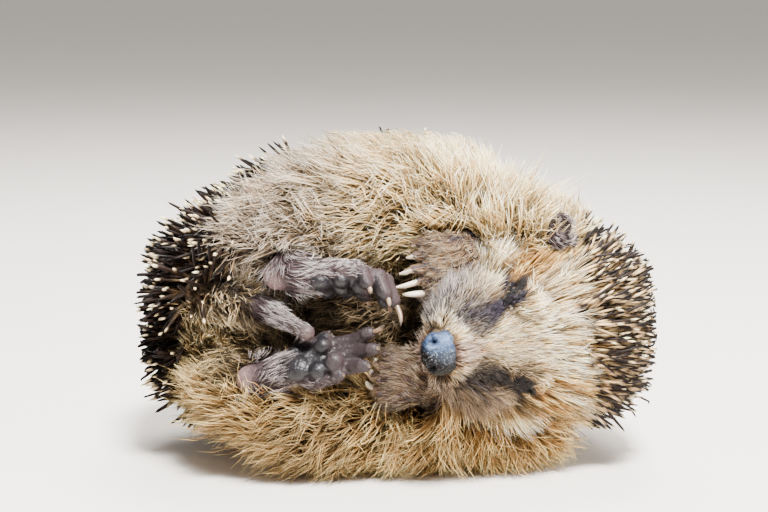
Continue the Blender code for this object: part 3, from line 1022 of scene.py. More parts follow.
class Hide:
    """The finished skin, measured once so that hair can be scattered over it."""

    def __init__(self, skin: Object, parts: Array) -> None:
        """Reads the skin's triangles.

        Args:
            skin: The skin, with its unwrap.
            parts: The body part of each face.
        """
        mesh = skin.data
        mesh.calc_loop_triangles()
        count = len(mesh.loop_triangles)
        self.corners = read(mesh.loop_triangles, "vertices", count * 3, np.int32).reshape(-1, 3)
        loops = read(mesh.loop_triangles, "loops", count * 3, np.int32).reshape(-1, 3)
        faces = read(mesh.loop_triangles, "polygon_index", count, np.int32)
        uv = read(mesh.uv_layers[UNWRAP].uv, "vector", len(mesh.loops) * 2, np.float32).reshape(-1, 2)
        self.points, self.normals = positions(mesh), point_normals(mesh)
        self.uv = uv[loops]
        self.parts = parts[faces]
        a, b, c = (self.points[self.corners[:, k]] for k in range(3))
        self.area = np.linalg.norm(np.cross(b - a, c - a), axis=1) / 2
        self.centres = (a + b + c) / 3
        self.facing = unit(np.cross(b - a, c - a))
        self.tree = BVHTree.FromPolygons(
            [tuple(point) for point in self.points], [tuple(corners) for corners in self.corners.tolist()]
        )

    def scatter(self, density: Array, rng: np.random.Generator) -> Roots:
        """Scatters roots.

        Args:
            density: Roots in a square millimetre, for each triangle.
            rng: The source of chance.

        Returns:
            The roots.
        """
        counts = rng.poisson(np.maximum(density, 0.0) * self.area)
        picked = np.repeat(np.arange(len(counts)), counts)
        u, v = rng.random(len(picked)), rng.random(len(picked))
        over = u + v > 1.0
        u[over], v[over] = 1.0 - u[over], 1.0 - v[over]
        shares = np.stack([1.0 - u - v, u, v], axis=1)[:, :, None]
        corners = self.corners[picked]
        points = (self.points[corners] * shares).sum(axis=1)
        normals = unit((self.normals[corners] * shares).sum(axis=1))
        return Roots(points, normals, self.parts[picked], (self.uv[picked] * shares).sum(axis=1))

    def ease_out(self, lines: Array, clearance: float) -> Array:
        """Lifts the points of hairs that dive into the skin back over it.

        Args:
            lines: The knots of each hair.
            clearance: How far over the skin they are lifted.

        Returns:
            The knots.
        """
        for k in range(1, lines.shape[1]):
            for n, point in enumerate(lines[:, k]):
                place, normal, _, _ = self.tree.find_nearest(Vector(point), 6.0)
                if place is not None and (Vector(point) - place).dot(normal) < clearance * 0.4:
                    lines[n, k] = place + normal * clearance
        return lines


@dataclass
class Skin:
    """The one skin that replaces every node of flesh."""

    head: Head
    claws: dict[Part, list[Claw]] = field(default_factory=dict)

    def build(self, markings: Markings) -> tuple[Object, Hide]:
        """Models every part, unites them, unwraps the skin and paints it.

        Args:
            markings: The colours.

        Returns:
            The skin and its measures.
        """
        bodies = {Part.TRUNK: Trunk().build(), Part.HEAD: self.head.build(), Part.TAIL: Tail().build()}
        for part, limb in LIMBS.items():
            kind = HindFoot if part in HIND_FEET else FrontPaw
            bodies[part], self.claws[part] = kind(limb, **LEFT_SHAPES.get(part, {})).build()
        for (side, _), part in zip(SIDES, EARS):
            bodies[part] = Ear(self.head, side).build()
        marks = [bpy.data.materials.new(part.name.lower() + "_mark") for part in Part]
        for part, body in bodies.items():
            for mark in marks:
                body.data.materials.append(mark)
            body.data.polygons.foreach_set("material_index", [part.value] * len(body.data.polygons))
        skin = bodies.pop(Part.TRUNK)
        for body in bodies.values():
            combine(skin, body)
        skin.name = skin.data.name = "skin"
        parts = read(skin.data.polygons, "material_index", len(skin.data.polygons), np.int32)
        parts = self.furred(skin, parts)
        skin.data.materials.clear()
        for mark in marks:
            bpy.data.materials.remove(mark)
        self.unwrap(skin)
        hide = Hide(skin, parts)
        at_point = np.zeros(len(skin.data.vertices), np.int32)
        at_point[hide.corners.ravel()] = np.repeat(hide.parts, 3)
        paint(skin.data, "coat", markings.skin(hide.points, hide.normals, at_point))
        self.mark_soles(skin, hide, at_point, markings)
        skin.data.shade_smooth()
        return skin, hide

    @staticmethod
    def furred(skin: Object, parts: Array) -> Array:
        """Counts the roots of limbs and tail as trunk, so that the long fur runs onto them.

        Args:
            skin: The skin.
            parts: The body part of each face.

        Returns:
            The parts, corrected.
        """
        centres = read(skin.data.polygons, "center", len(parts) * 3, np.float32).reshape(-1, 3) / MM
        buried = (parts == Part.TAIL.value) & (centres[:, 0] < -43.0)
        for limb in LIMBS.values():
            f, _, u = limb.local(centres).T
            hind = limb.part in HIND_FEET
            buried |= (parts == limb.part.value) & ((u > 9.0) if hind else (f < -6.0))
        return np.where(buried, Part.TRUNK.value, parts)

    @staticmethod
    def mark_soles(skin: Object, hide: Hide, parts: Array, markings: Markings) -> None:
        """Stores how hard and bare the skin is at each point: 1 on a pad, 0 under fur.

        Args:
            skin: The skin.
            hide: Its measures.
            parts: The body part of each point.
            markings: Where its pads lie.
        """
        bare = np.zeros(len(parts))
        for limb in LIMBS.values():
            pads = markings.pads(limb, hide.points, hide.normals)
            naked = np.maximum(pads, markings.heel(limb, hide.points))
            bare = np.where(parts == limb.part.value, 0.3 + 0.7 * naked, bare)
        bare = np.where(parts == Part.TAIL.value, 0.3 + 0.6 * markings.knob(hide.points), bare)
        layer = skin.data.attributes.new("bareness", "FLOAT", "POINT")
        layer.data.foreach_set("value", bare.astype(np.float32))

    @staticmethod
    def unwrap(skin: Object) -> None:
        """Unfolds the skin into flat islands of its own shape."""
        skin.data.uv_layers.new(name=UNWRAP)
        bpy.context.view_layer.objects.active = skin
        skin.select_set(True)
        bpy.ops.object.mode_set(mode="EDIT")
        bpy.ops.mesh.select_all(action="SELECT")
        bpy.ops.uv.smart_project(angle_limit=math.radians(66), island_margin=0.001)
        bpy.ops.object.mode_set(mode="OBJECT")
        skin.select_set(False)


# ---------------- the coat


@dataclass
class Lie:
    """Which way the coat is combed, from guide directions spread over the body."""

    head: Head
    # Each guide is a place and the direction in which hair there is combed.
    guides: tuple = (
        ((-4, 10, 98), (-1.0, 0.0, 0.2)), ((-35, -10, 90), (-1.0, -0.1, 0.1)),
        ((-66, -18, 68), (-1.0, -0.3, 0.1)), ((25, -5, 92), (-0.4, 0.2, 0.7)),
        ((48, -10, 84), (0.35, 0.4, 0.9)), ((-10, -30, 86), (-0.45, -0.8, 0.2)),
        ((-40, -34, 76), (-0.9, -0.4, 0.4)), ((12, -32, 84), (-0.3, -0.4, 0.4)),
        ((-30, -44, 66), (-0.3, -0.3, -0.8)), ((0, -42, 69), (0.12, -0.3, -1.0)),
        ((22, -36, 70), (0.0, -0.2, -0.7)), ((30, -27, 79), (0.15, 0.0, 1.0)),
        ((40, -24, 79), (0.5, 0.25, 0.85)), ((-63, -34, 50), (-1.0, -0.3, 0.2)),
        ((-60, -38, 32), (-0.95, -0.2, 0.35)), ((-45, -42, 14), (-0.9, -0.2, 0.45)),
        ((-20, -44, 10), (-1.0, -0.3, 0.0)), ((8, -40, 12), (-0.5, -0.3, -0.6)),
        ((26, -38, 12), (0.25, -0.2, -0.9)), ((42, -30, 12), (0.7, -0.1, -0.7)),
        ((0, -12, 47), (-1.0, -0.4, 0.0)), ((-55, -26, 55), (0.85, -0.5, -0.2)),
        ((-47, -33, 57), (0.85, -0.4, -0.4)), ((60, 10, 80), (0.5, 0.7, 0.4)),
        ((70, 20, 45), (0.2, 1.0, 0.0)), ((55, 15, 12), (0.3, 0.9, -0.2)),
        ((0, 60, 50), (-1.0, 0.0, 0.0)), ((-72, 20, 45), (-0.3, -1.0, 0.0)),
        ((0, 20, 3), (-1.0, 0.0, -0.1)),
    )

    def flow(self, roots: Roots) -> Array:
        """The combed direction at each root, in the plane of the skin.

        Args:
            roots: The roots.

        Returns:
            A direction for each.
        """
        points, normals, parts = roots.points, roots.normals, roots.parts
        places = np.array([place for place, _ in self.guides], float)
        ways = unit(np.array([way for _, way in self.guides], float))
        near = 1.0 / (((points[:, None] - places[None]) ** 2).sum(axis=2) + 30.0) ** 1.6
        flow = (near[:, :, None] * ways[None]).sum(axis=1)
        b, u, r = self.head.local(points).T
        back, up, right = self.head.axes
        backward = np.minimum(10.0 + 0.55 * b, 1.2 + 1.3 * np.clip(b - 5.0, 0.0, 40.0))
        fan = np.outer(backward, back) + np.outer(u + 2.0, up) * 0.9 + np.outer(r, right) * 0.95
        flow = np.where((parts == Part.HEAD.value)[:, None], fan, flow)
        for part, limb in LIMBS.items():
            forward, inward, _ = np.array(limb.axes)
            f, i, _ = limb.local(points).T
            shank = unit(np.array(limb.base) - np.array(limb.top))
            share = ramp(-2.0, 9.0, f)
            way = mix(shank, forward, share) + np.outer(np.clip(i, -5.0, 5.0) * 0.05, inward)
            flow = np.where((parts == part.value)[:, None], way, flow)
        tail = np.array(Tail.points[-1]) - np.array(Tail.points[0])
        flow = np.where((parts == Part.TAIL.value)[:, None], unit(tail), flow)
        for (side, _), part in zip(SIDES, EARS):
            flow = np.where((parts == part.value)[:, None], right * side + up * 0.35, flow)
        flow = unit(flow)
        return unit(flow - normals * (flow * normals).sum(axis=1, keepdims=True) + 1e-6)


@dataclass(frozen=True)
class Growth:
    """How one kind of hair or quill grows."""

    thickness: float  # radius at its widest
    lift: float  # degrees out of the skin, at the root
    droop: float  # share of the lift that is lost by the tip
    scatter: float  # degrees to either side
    curl: float  # degrees of bend to the side
    clump: float  # how far tips are drawn together
    tuft: int  # hairs in a clump
    stations: tuple[float, ...] = (0.0, 0.5, 1.0)  # where along the hair its knots lie
    profile: tuple[float, ...] = (1.0, 0.85, 0.0)  # thickness at the knots
    sides: int = 3
    shade_spread: float = 0.22
    locks: float = 0.0  # how much whole locks differ in shade
    reach: tuple[float, float] = (0.30, 0.62)  # where along the hair its middle colour lies
    gather: float = 2.6  # how far apart the roots of one clump may be
    density: float = 1.0  # roots in a square millimetre, where it grows thickest
    length: float = 0.0  # of most of its hairs, where one number gives it


FUR = Growth(
    thickness=0.136, lift=47.0, droop=0.55, scatter=29.0, curl=38.0, clump=0.62, tuft=9,
    stations=(0.0, 0.34, 0.70, 1.0), profile=(0.8, 1.0, 0.80, 0.0), shade_spread=0.58, locks=0.74,
    reach=(0.50, 0.84), gather=3.6, density=1.6, length=15.0,
)
UNDERFUR = Growth(
    thickness=0.115, lift=40.0, droop=0.7, scatter=34.0, curl=34.0, clump=0.3, tuft=6,
    profile=(1.0, 0.9, 0.0), shade_spread=0.45, locks=0.30, reach=(0.45, 0.85), density=1.7, length=7.5,
)
FACE_FUR = Growth(
    thickness=0.095, lift=28.0, droop=0.60, scatter=12.0, curl=16.0, clump=0.55, tuft=7,
    shade_spread=0.54, locks=0.50, reach=(0.42, 0.78), gather=1.8, density=7.0,
)
LONG_FACE_FUR = Growth(
    thickness=0.120, lift=25.0, droop=0.6, scatter=10.0, curl=13.0, clump=0.66, tuft=9,
    stations=(0.0, 0.34, 0.70, 1.0), profile=(0.9, 1.0, 0.78, 0.0), shade_spread=0.56, locks=0.62,
    reach=(0.46, 0.82), gather=2.8, density=3.1,
)
SLEEK = Growth(
    thickness=0.080, lift=13.0, droop=0.70, scatter=11.0, curl=12.0, clump=0.55, tuft=7,
    shade_spread=0.55, locks=0.45, reach=(0.40, 0.80), gather=2.0,
)
EAR_FUR = Growth(
    thickness=0.075, lift=28.0, droop=0.6, scatter=18.0, curl=14.0, clump=0.2, tuft=5, shade_spread=0.40,
    density=8.0, length=3.6,
)
WHISKER = Growth(
    thickness=0.085, lift=34.0, droop=0.3, scatter=9.0, curl=10.0, clump=0.0, tuft=1,
    stations=(0.0, 0.2, 0.4, 0.6, 0.8, 1.0), profile=(1.0, 0.95, 0.85, 0.7, 0.5, 0.0),
    density=0.16,
)
QUILL = Growth(
    thickness=0.53, lift=56.0, droop=0.06, scatter=27.0, curl=5.0, clump=0.0, tuft=1,
    stations=(0.0, 0.28, 0.42, 0.56, 0.70, 0.84, 0.93, 1.0),
    profile=(0.62, 0.90, 0.98, 1.0, 1.0, 0.92, 0.74, 0.0), sides=4, shade_spread=0.30,
    density=0.24, length=15.5,
)
CROWN_QUILL = replace(
    QUILL, thickness=0.42, lift=27.0, droop=0.25, scatter=15.0, density=0.34, length=17.0,
)


class Spike:
    """The faces of one closed tapered spike and its unwrap, which all hairs of a kind share."""

    def __init__(self, knots: int, sides: int) -> None:
        """Lists the faces: quads from ring to ring, triangles to the tip, and the cap of the root.

        Args:
            knots: Knots along the spike; the last is its tip.
            sides: Sides of the spike.
        """
        s = np.arange(sides)
        t = (s + 1) % sides
        rows = range(knots - 2)
        quads = [np.stack([k * sides + s, k * sides + t, (k + 1) * sides + t, (k + 1) * sides + s], axis=1)
                 for k in rows]
        last = (knots - 2) * sides
        tips = np.stack([last + s, last + t, np.full(sides, last + sides)], axis=1)
        self.loops = np.concatenate([np.concatenate(quads).ravel(), tips.ravel(), s[::-1]])
        self.totals = np.concatenate([np.full(len(rows) * sides, 4), np.full(sides, 3), [sides]])

        stops = np.arange(knots) / (knots - 1)
        u_quads = np.concatenate([np.stack([s, s + 1, s + 1, s], axis=1) for _ in rows]).ravel()
        v_quads = np.concatenate([
            np.tile([stops[k], stops[k], stops[k + 1], stops[k + 1]], (sides, 1)) for k in rows
        ]).ravel()
        v_tips = np.tile([stops[-2], stops[-2], 1.0], (sides, 1)).ravel()
        u = np.concatenate([u_quads, np.stack([s, s + 1, s + 0.5], axis=1).ravel(), s[::-1]])
        v = np.concatenate([v_quads, v_tips, np.zeros(sides)])
        self.unwrap = np.stack([u / sides, v], axis=1)


@dataclass
class Strands:
    """Hairs as arrays: the points along each, its thickness, its colours and its patch of the unwrap."""

    lines: Array
    radii: Array
    colours: Array
    uv: Array
    patch: float = 0.003

    def where(self, mask: Array) -> "Strands":
        """The hairs that a mask picks."""
        return Strands(self.lines[mask], self.radii[mask], self.colours[mask], self.uv[mask])

    def surface(self, sides: int) -> Array:
        """The points of each spike: a ring at every knot but the last, which is its tip."""
        along = unit(np.gradient(self.lines, axis=1))
        spin = unit(np.cross(along[:, :1], np.roll(along[:, :1], 1, axis=2) + 0.31))
        across = unit(spin - along * (spin * along).sum(axis=2, keepdims=True))
        beside = np.cross(along, across)
        turn = np.arange(sides) / sides * math.tau
        ring = across[:, :, None] * np.cos(turn)[:, None] + beside[:, :, None] * np.sin(turn)[:, None]
        rings = self.lines[:, :, None] + ring * self.radii[:, :, None, None]
        body = rings[:, :-1].reshape(len(rings), -1, 3)
        return np.concatenate([body, self.lines[:, -1:]], axis=1)

    def mesh(self, name: str, sides: int, material: Material) -> Object:
        """Writes the hairs as one mesh of closed tapered spikes.

        Args:
            name: The object's name.
            sides: Sides of each spike.
            material: The finish.

        Returns:
            The object.
        """
        points = self.surface(sides)
        count, per, _ = points.shape
        spike = Spike(self.lines.shape[1], sides)
        starts = np.concatenate([[0], np.cumsum(spike.totals)[:-1]])
        each = np.arange(count)[:, None]
        loops = (spike.loops[None] + each * per).astype(np.int32)
        offsets = (starts[None] + each * len(spike.loops)).astype(np.int32)
        uv = self.uv[:, None] - self.patch / 2 + (spike.unwrap * self.patch)[None]
        sheath = np.repeat(self.colours[:, :-1], sides, axis=1)
        colours = np.concatenate([sheath, self.colours[:, -1:]], axis=1)

        mesh = bpy.data.meshes.new(name)
        mesh.vertices.add(count * per)
        mesh.vertices.foreach_set("co", (points * MM).astype(np.float32).ravel())
        mesh.loops.add(loops.size)
        mesh.loops.foreach_set("vertex_index", loops.ravel())
        mesh.polygons.add(offsets.size)
        mesh.polygons.foreach_set("loop_start", offsets.ravel())
        mesh.update(calc_edges=True)
        layer = mesh.uv_layers.new(name=UNWRAP)
        layer.uv.foreach_set("vector", np.clip(uv, 0.0, 1.0).astype(np.float32).ravel())
        paint(mesh, "coat", colours.reshape(-1, 3))
        mesh.shade_smooth()
        mesh.materials.append(material)
        return link(name, mesh)


@dataclass
class Coat:
    """Grows every kind of hair and quill from the hide."""

    hide: Hide
    markings: Markings
    lie: Lie
    low: Array  # the CAD box, in millimetres
    high: Array
    limit: int = 180_000  # triangles in one piece
    root_depth: float = 0.3  # how far a root sits under the skin
    clearance: float = 0.22  # how far a hair that dives into the skin is lifted over it
    brightness: tuple[float, float] = (0.22, 1.6)  # limits of each hair's own brightness
    belly_length: float = 8.5  # of the fur between the flanks
    rng: np.random.Generator = field(default_factory=lambda: np.random.default_rng(SEED))
    count: int = 0

    def vary(self, count: int, spread: float = 0.2) -> Array:
        """Factors round 1, drawn by chance, for the lengths of hairs."""
        return self.rng.normal(1.0, spread, count).clip(0.5, 1.5)

    def comb(self, roots: Roots, growth: Growth, lengths: Array, lift: Array | float = 1.0,
             bend: Array | float = 0.0) -> Array:
        """Lays each hair out from its root.

        Args:
            roots: Where the hairs grow.
            growth: Their kind.
            lengths: Their lengths.
            lift: Multiplies the kind's lift.
            bend: Degrees by which each hair's whole lie is turned to the side.

        Returns:
            The knots of each hair, as (hairs, knots, 3).
        """
        count = len(roots)
        flow = self.lie.flow(roots)
        side = np.cross(roots.normals, flow)
        yaw = np.radians(self.rng.normal(0.0, growth.scatter, count) + bend)
        curl = np.radians(self.rng.normal(0.0, growth.curl, count))
        rise = np.radians(np.clip(growth.lift * lift * self.rng.normal(1.0, 0.18, count), 4.0, 84.0))
        stops = np.array(growth.stations)
        lines = np.empty((count, len(stops), 3))
        lines[:, 0] = roots.points - roots.normals * self.root_depth
        for k in range(1, len(stops)):
            middle = (stops[k - 1] + stops[k]) / 2
            angle, turn = rise * (1.0 - growth.droop * middle), yaw + curl * middle
            flat = flow * np.cos(turn)[:, None] + side * np.sin(turn)[:, None]
            way = flat * np.cos(angle)[:, None] + roots.normals * np.sin(angle)[:, None]
            lines[:, k] = lines[:, k - 1] + way * (lengths * (stops[k] - stops[k - 1]))[:, None]
        if growth.clump > 0.0 and count > growth.tuft:
            lines = self.clump(lines, growth, stops)
        return lines

    def clump(self, lines: Array, growth: Growth, stops: Array) -> Array:
        """Draws the tips of neighbouring hairs together.

        Args:
            lines: The knots of each hair.
            growth: Their kind.
            stops: Where along a hair its knots lie.

        Returns:
            The knots.
        """
        chosen = self.rng.choice(len(lines), max(len(lines) // growth.tuft, 1), replace=False)
        tree = KDTree(len(chosen))
        for n, guide in enumerate(chosen):
            tree.insert(Vector(lines[guide, 0]), n)
        tree.balance()
        nearest = chosen[[tree.find(Vector(root))[1] for root in lines[:, 0]]]
        strength = growth.clump * self.rng.uniform(0.5, 1.3, len(lines))
        near = np.linalg.norm(lines[:, 0] - lines[nearest, 0], axis=1) < growth.gather
        pull = np.clip(strength[:, None] * stops[None] ** 1.3 * near[:, None], 0.0, 0.9)
        return lines + (lines[nearest] - lines) * pull[:, :, None]

    def dress(self, name: str, roots: Roots, growth: Growth, lengths: Array, colours: Array,
              material: Material, slot: str, **combing: Array | float) -> None:
        """Grows hair on some roots and writes it as pieces.

        Args:
            name: The pieces' name.
            roots: Where the hairs grow.
            growth: Their kind.
            lengths: Their lengths.
            colours: One colour for each knot of each hair.
            material: Their finish.
            slot: Not used.
            combing: Further settings of comb.
        """
        lines = self.hide.ease_out(self.comb(roots, growth, lengths, **combing), self.clearance)
        margin = growth.thickness * 1.3 + 0.12
        lines = np.clip(lines, self.low + margin, self.high - margin)
        thick = self.rng.uniform(0.75, 1.25, len(roots))[:, None]
        radii = growth.thickness * np.array(growth.profile)[None] * thick
        locks = growth.locks * (drift(roots.points, 4.5, 5.0) + 0.6 * drift(roots.points, 11.0, 9.0))
        chance = self.rng.normal(-0.06, growth.shade_spread, len(roots))
        bright = np.exp(chance + locks).clip(*self.brightness)
        strands = Strands(lines, radii, np.clip(colours * bright[:, None, None], 0.0, 0.95), roots.uv)
        sides, knots = growth.sides, len(growth.stations)
        each = (knots - 2) * sides * 2 + sides + sides - 2
        pieces = math.ceil(len(roots) * each / self.limit)
        order = np.argsort(roots.points[:, 0])
        for n, chunk in enumerate(np.array_split(order, max(pieces, 1))):
            label = name if pieces <= 1 else f"{name}_{n + 1}"
            piece = strands.where(chunk).mesh(label, sides, material)
            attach(piece, ROOT)
            self.count += len(chunk) * each
            LOG.info("%s: %d hairs, %d triangles", label, len(chunk), len(chunk) * each)

    def tone(self, roots: Roots, growth: Growth, pale: float = 1.0) -> Array:
        """The markings' colours at each knot of each hair.

        Args:
            roots: Where the hairs grow.
            growth: Their kind.
            pale: Multiplies the colours.

        Returns:
            The colours.
        """
        root, middle, tip = np.moveaxis(self.markings.hair(roots.points, roots.parts), 1, 0)
        reach = self.rng.uniform(*growth.reach, len(roots))
        t = np.array(growth.stations)[None] * np.ones((len(roots), 1))
        first = np.clip(t / reach[:, None], 0.0, 1.0)[:, :, None]
        second = np.clip((t - reach[:, None]) / (1.0 - reach[:, None]), 0.0, 1.0)[:, :, None]
        low = root[:, None] * (1.0 - first) + middle[:, None] * first
        tone = low * (1.0 - second) + tip[:, None] * second
        return tone * pale

    def fur(self, material: Material) -> None:
        """Grows the long fur of the flanks and belly."""
        hide, z = self.hide, self.hide.centres[:, 2]
        mantle = self.markings.mantle(hide.centres, hide.parts)
        trunk = (hide.parts == Part.TRUNK.value).astype(float) * (1.0 - mantle)
        density = FUR.density - 0.6 * self.markings.hollow(hide.centres)
        shorter = FUR.length - self.belly_length
        for name, half in (("right", z > MIDDLE), ("left", z <= MIDDLE)):
            roots = hide.scatter(trunk * half * density, self.rng)
            x, _, height = roots.points.T
            nape = ramp(32.0, 44.0, x) * ramp(60.0, 72.0, height)
            lengths = FUR.length - shorter * self.markings.hollow(roots.points)
            lengths = lengths * (1.0 - 0.35 * nape) * self.vary(len(roots))
            lengths *= np.where(self.rng.random(len(roots)) < 0.07, 1.42, 1.0)
            wild = 24.0 * drift(roots.points, 9.0, 8.0) + 26.0 * drift(roots.points, 4.0, 1.5)
            tone = self.tone(roots, FUR)
            self.dress(f"fur_flank_{name}", roots, FUR, lengths, tone, material, "body_fur", bend=wild)
            roots = hide.scatter(trunk * half * UNDERFUR.density, self.rng)
            lengths = UNDERFUR.length * self.vary(len(roots))
            # Painted shade deep in the coat: the underfur takes a quarter of the markings' colours.
            tone = self.tone(roots, UNDERFUR, 0.25)
            self.dress(f"underfur_{name}", roots, UNDERFUR, lengths, tone, material, "body_fur")

    def face(self, material: Material) -> None:
        """Grows the hair of the head, short on the snout and long on cheeks and crown."""
        hide, head = self.hide, self.markings.head
        on_head = (hide.parts == Part.HEAD.value).astype(float)
        on_head *= 1.0 - self.markings.mantle(hide.centres, hide.parts) * 0.8
        b = head.local(hide.centres)[:, 0]
        on_head *= ramp(5.4, 6.4, b)
        slit = np.ones(len(b))
        for side, _ in SIDES:
            s, d, h = head.lid_local(hide.centres, side)
            slit *= 1.0 - (np.abs(s) < 5.6) * (np.abs(d + 0.2) < 1.0) * (h > 0.0)
        for name, growth, zone in (
            ("face", FACE_FUR, ramp(29.0, 25.0, b)), ("cheeks", LONG_FACE_FUR, ramp(25.0, 29.0, b)),
        ):
            roots = hide.scatter(on_head * zone * growth.density * slit, self.rng)
            back, above, right = head.local(roots.points).T
            right = np.abs(right)
            flank = ramp(5.0, 9.0, right) * ramp(5.0, 1.0, above) * ramp(33.0, 24.0, back)
            muzzle = ramp(11.0, 6.0, back)
            lengths = 1.7 + 0.25 * np.clip(back - 5.0, 0.0, 40.0) + 0.16 * np.clip(right - 8.0, 0.0, 16.0)
            lengths += 2.2 * flank * ramp(6.0, 12.0, back) + 1.5 * ramp(14.0, 8.0, back)
            chin = ramp(0.5, -4.0, above) * ramp(26.0, 18.0, back)
            lengths += 2.4 * chin
            lengths *= 1.0 - 0.45 * self.markings.stripe(roots.points)
            for side, _ in SIDES:
                s, d, _ = head.lid_local(roots.points, side)
                gone = np.hypot((s + 1.5) / 8.5, d / 5.0)
                lengths = np.minimum(lengths, 0.9 + 6.0 * ramp(0.55, 1.25, gone) + 9.0 * (gone > 1.25))
            lengths *= self.vary(len(roots), 0.16)
            ruffle = 34.0 * np.maximum(flank, 1.3 * chin) * (1.0 - self.markings.stripe(roots.points))
            ruffle = (ruffle + 10.0 * muzzle) * self.rng.normal(0.0, 1.0, len(roots))
            self.dress(
                f"fur_{name}", roots, growth, lengths, self.tone(roots, growth), material, "head_fur",
                lift=1.0 + 1.1 * np.maximum(flank, chin) + 0.9 * muzzle, bend=ruffle,
            )

    def feet(self, material: Material) -> None:
        """Grows sleek hair on the backs of the feet, sparse hair on the tail, and down on the ears."""
        hide, head = self.hide, self.markings.head
        for part, limb in LIMBS.items():
            hind = part in HIND_FEET
            pads = self.markings.pads(limb, hide.centres, hide.facing)
            naked = np.maximum(pads, self.markings.heel(limb, hide.centres))
            along = limb.local(hide.centres)[:, 0]
            ahead = ramp(24.0, 29.0, along) if hind else 0.45 * ramp(10.0, 15.0, along)
            thick = (hide.parts == part.value) * (1.0 - naked) ** 2 * (1.0 - ahead)
            roots = hide.scatter(thick * (2.2 if hind else 3.8), self.rng)
            longest, shorter, end = (8.0, 6.0, 30.0) if hind else (6.0, 3.2, 14.0)
            lengths = longest - shorter * ramp(0.0, end, limb.local(roots.points)[:, 0])
            lengths *= self.vary(len(roots))
            name = f"fur_{part.name.lower()}"
            self.dress(name, roots, SLEEK, lengths, self.tone(roots, SLEEK), material, "body_fur")
        tail = (hide.parts == Part.TAIL.value) * (1.0 - self.markings.knob(hide.centres))
        roots = hide.scatter(tail * 2.6, self.rng)
        lengths = 3.6 + 5.0 * ramp(-32.0, -43.0, roots.points[:, 0])
        lengths *= self.vary(len(roots), 0.25)
        self.dress("fur_tail", roots, SLEEK, lengths, self.tone(roots, SLEEK), material, "body_fur")
        for (side, word), part in zip(SIDES, EARS):
            centre = np.array(head.ear_centre(side))
            cup = np.array((head.forward * 0.8 + head.up * 0.5).normalized())
            within = (hide.facing @ cup > 0.2) * (np.linalg.norm(hide.centres - centre, axis=1) < 4.2)
            down = (hide.parts == part.value) * (1.0 - 0.65 * within)
            roots = hide.scatter(down * EAR_FUR.density, self.rng)
            if len(roots):
                lengths = EAR_FUR.length * self.vary(len(roots), 0.25)
                tone = self.tone(roots, EAR_FUR)
                self.dress(f"fur_ear_{word}", roots, EAR_FUR, lengths, tone, material, "head_fur")

    def quills(self, material: Material) -> None:
        """Grows the mantle of banded quills over back, rump and crown."""
        hide = self.hide
        mantle = self.markings.mantle(hide.centres, hide.parts)
        for name, part, growth in (("back", Part.TRUNK, QUILL), ("crown", Part.HEAD, CROWN_QUILL)):
            roots = hide.scatter(mantle * (hide.parts == part.value) * growth.density, self.rng)
            lengths = growth.length * self.rng.normal(1.0, 0.12, len(roots)).clip(0.6, 1.35)
            rump = ramp(-25.0, -55.0, roots.points[:, 0]) * (part is Part.TRUNK)
            colours = self.bands(np.array(growth.stations), rump, part is Part.HEAD)
            self.dress(f"quills_{name}", roots, growth, lengths, colours, material, "body_fur")

    def bands(self, stops: Array, dark: Array, crown: bool) -> Array:
        """The colours along quills: pale base, dark band, pale tip; dark ones are almost all black.

        Args:
            stops: Where along a quill its knots lie.
            dark: How dark each quill is, from 0 to 1.
            crown: Whether they have a second pale band and mostly dark tips.

        Returns:
            One colour for each knot of each quill.
        """
        count = len(dark)
        black, pale = np.array(QUILL_DARK), np.array(QUILL_TIP)
        base = mix(np.array(QUILL_PALE), np.array(QUILL_TAN), self.rng.uniform(0.45 * crown, 1.0, count))
        base = mix(base, black, 0.92 * dark)
        band = np.tile(black, (count, 1)) * self.rng.uniform(0.5, 2.2, count)[:, None]
        plain_tip = self.rng.random(count) < 0.30 + 0.30 * dark + 0.34 * crown
        tip = mix(pale, black, plain_tip * 0.92 + 0.15)
        start = self.rng.uniform(*((0.16, 0.40) if crown else (0.34, 0.62)), count)[:, None, None]
        end = self.rng.uniform(0.86, 0.92, count)[:, None, None]
        at = np.tile(stops[None, :, None], (count, 1, 1))
        lower = base[:, None] * (0.55 + 0.45 * np.minimum(at / 0.4, 1.0))
        colours = np.where(at < start, lower, band[:, None])
        if crown:
            again = (at > start + 0.20) & (at < start + self.rng.uniform(0.26, 0.44, count)[:, None, None])
            colours = np.where(again, mix(base, pale, np.full(count, 0.35))[:, None], colours)
        return np.where(at > end, tip[:, None], colours)

    def whiskers(self, material: Material) -> None:
        """Grows the long stiff whiskers on both sides of the snout."""
        hide, head = self.hide, self.markings.head
        b, u, r = head.local(hide.centres).T
        zone = (hide.parts == Part.HEAD.value) * ramp(9.0, 11.0, b) * ramp(19.0, 16.0, b)
        zone = zone * (np.abs(r) > 4.5) * (u > -3.0) * (u < 3.0)
        roots = hide.scatter(zone * WHISKER.density, self.rng)
        lengths = self.rng.uniform(13.0, 23.0, len(roots))
        colours = np.tile(np.array(STRIPE.tip) * 0.8, (len(roots), len(WHISKER.stations), 1))
        self.dress("whiskers", roots, WHISKER, lengths, colours, material, "head_fur")


# ---------------- hard pieces


# The colours of a claw: at its base, along its outer half and at its point.
CLAW_CREAM = ((0.55, 0.42, 0.33), (0.80, 0.70, 0.55), (0.80, 0.70, 0.55))
CLAW_AMBER = ((0.10, 0.036, 0.016), (0.36, 0.23, 0.14), (0.030, 0.020, 0.016))


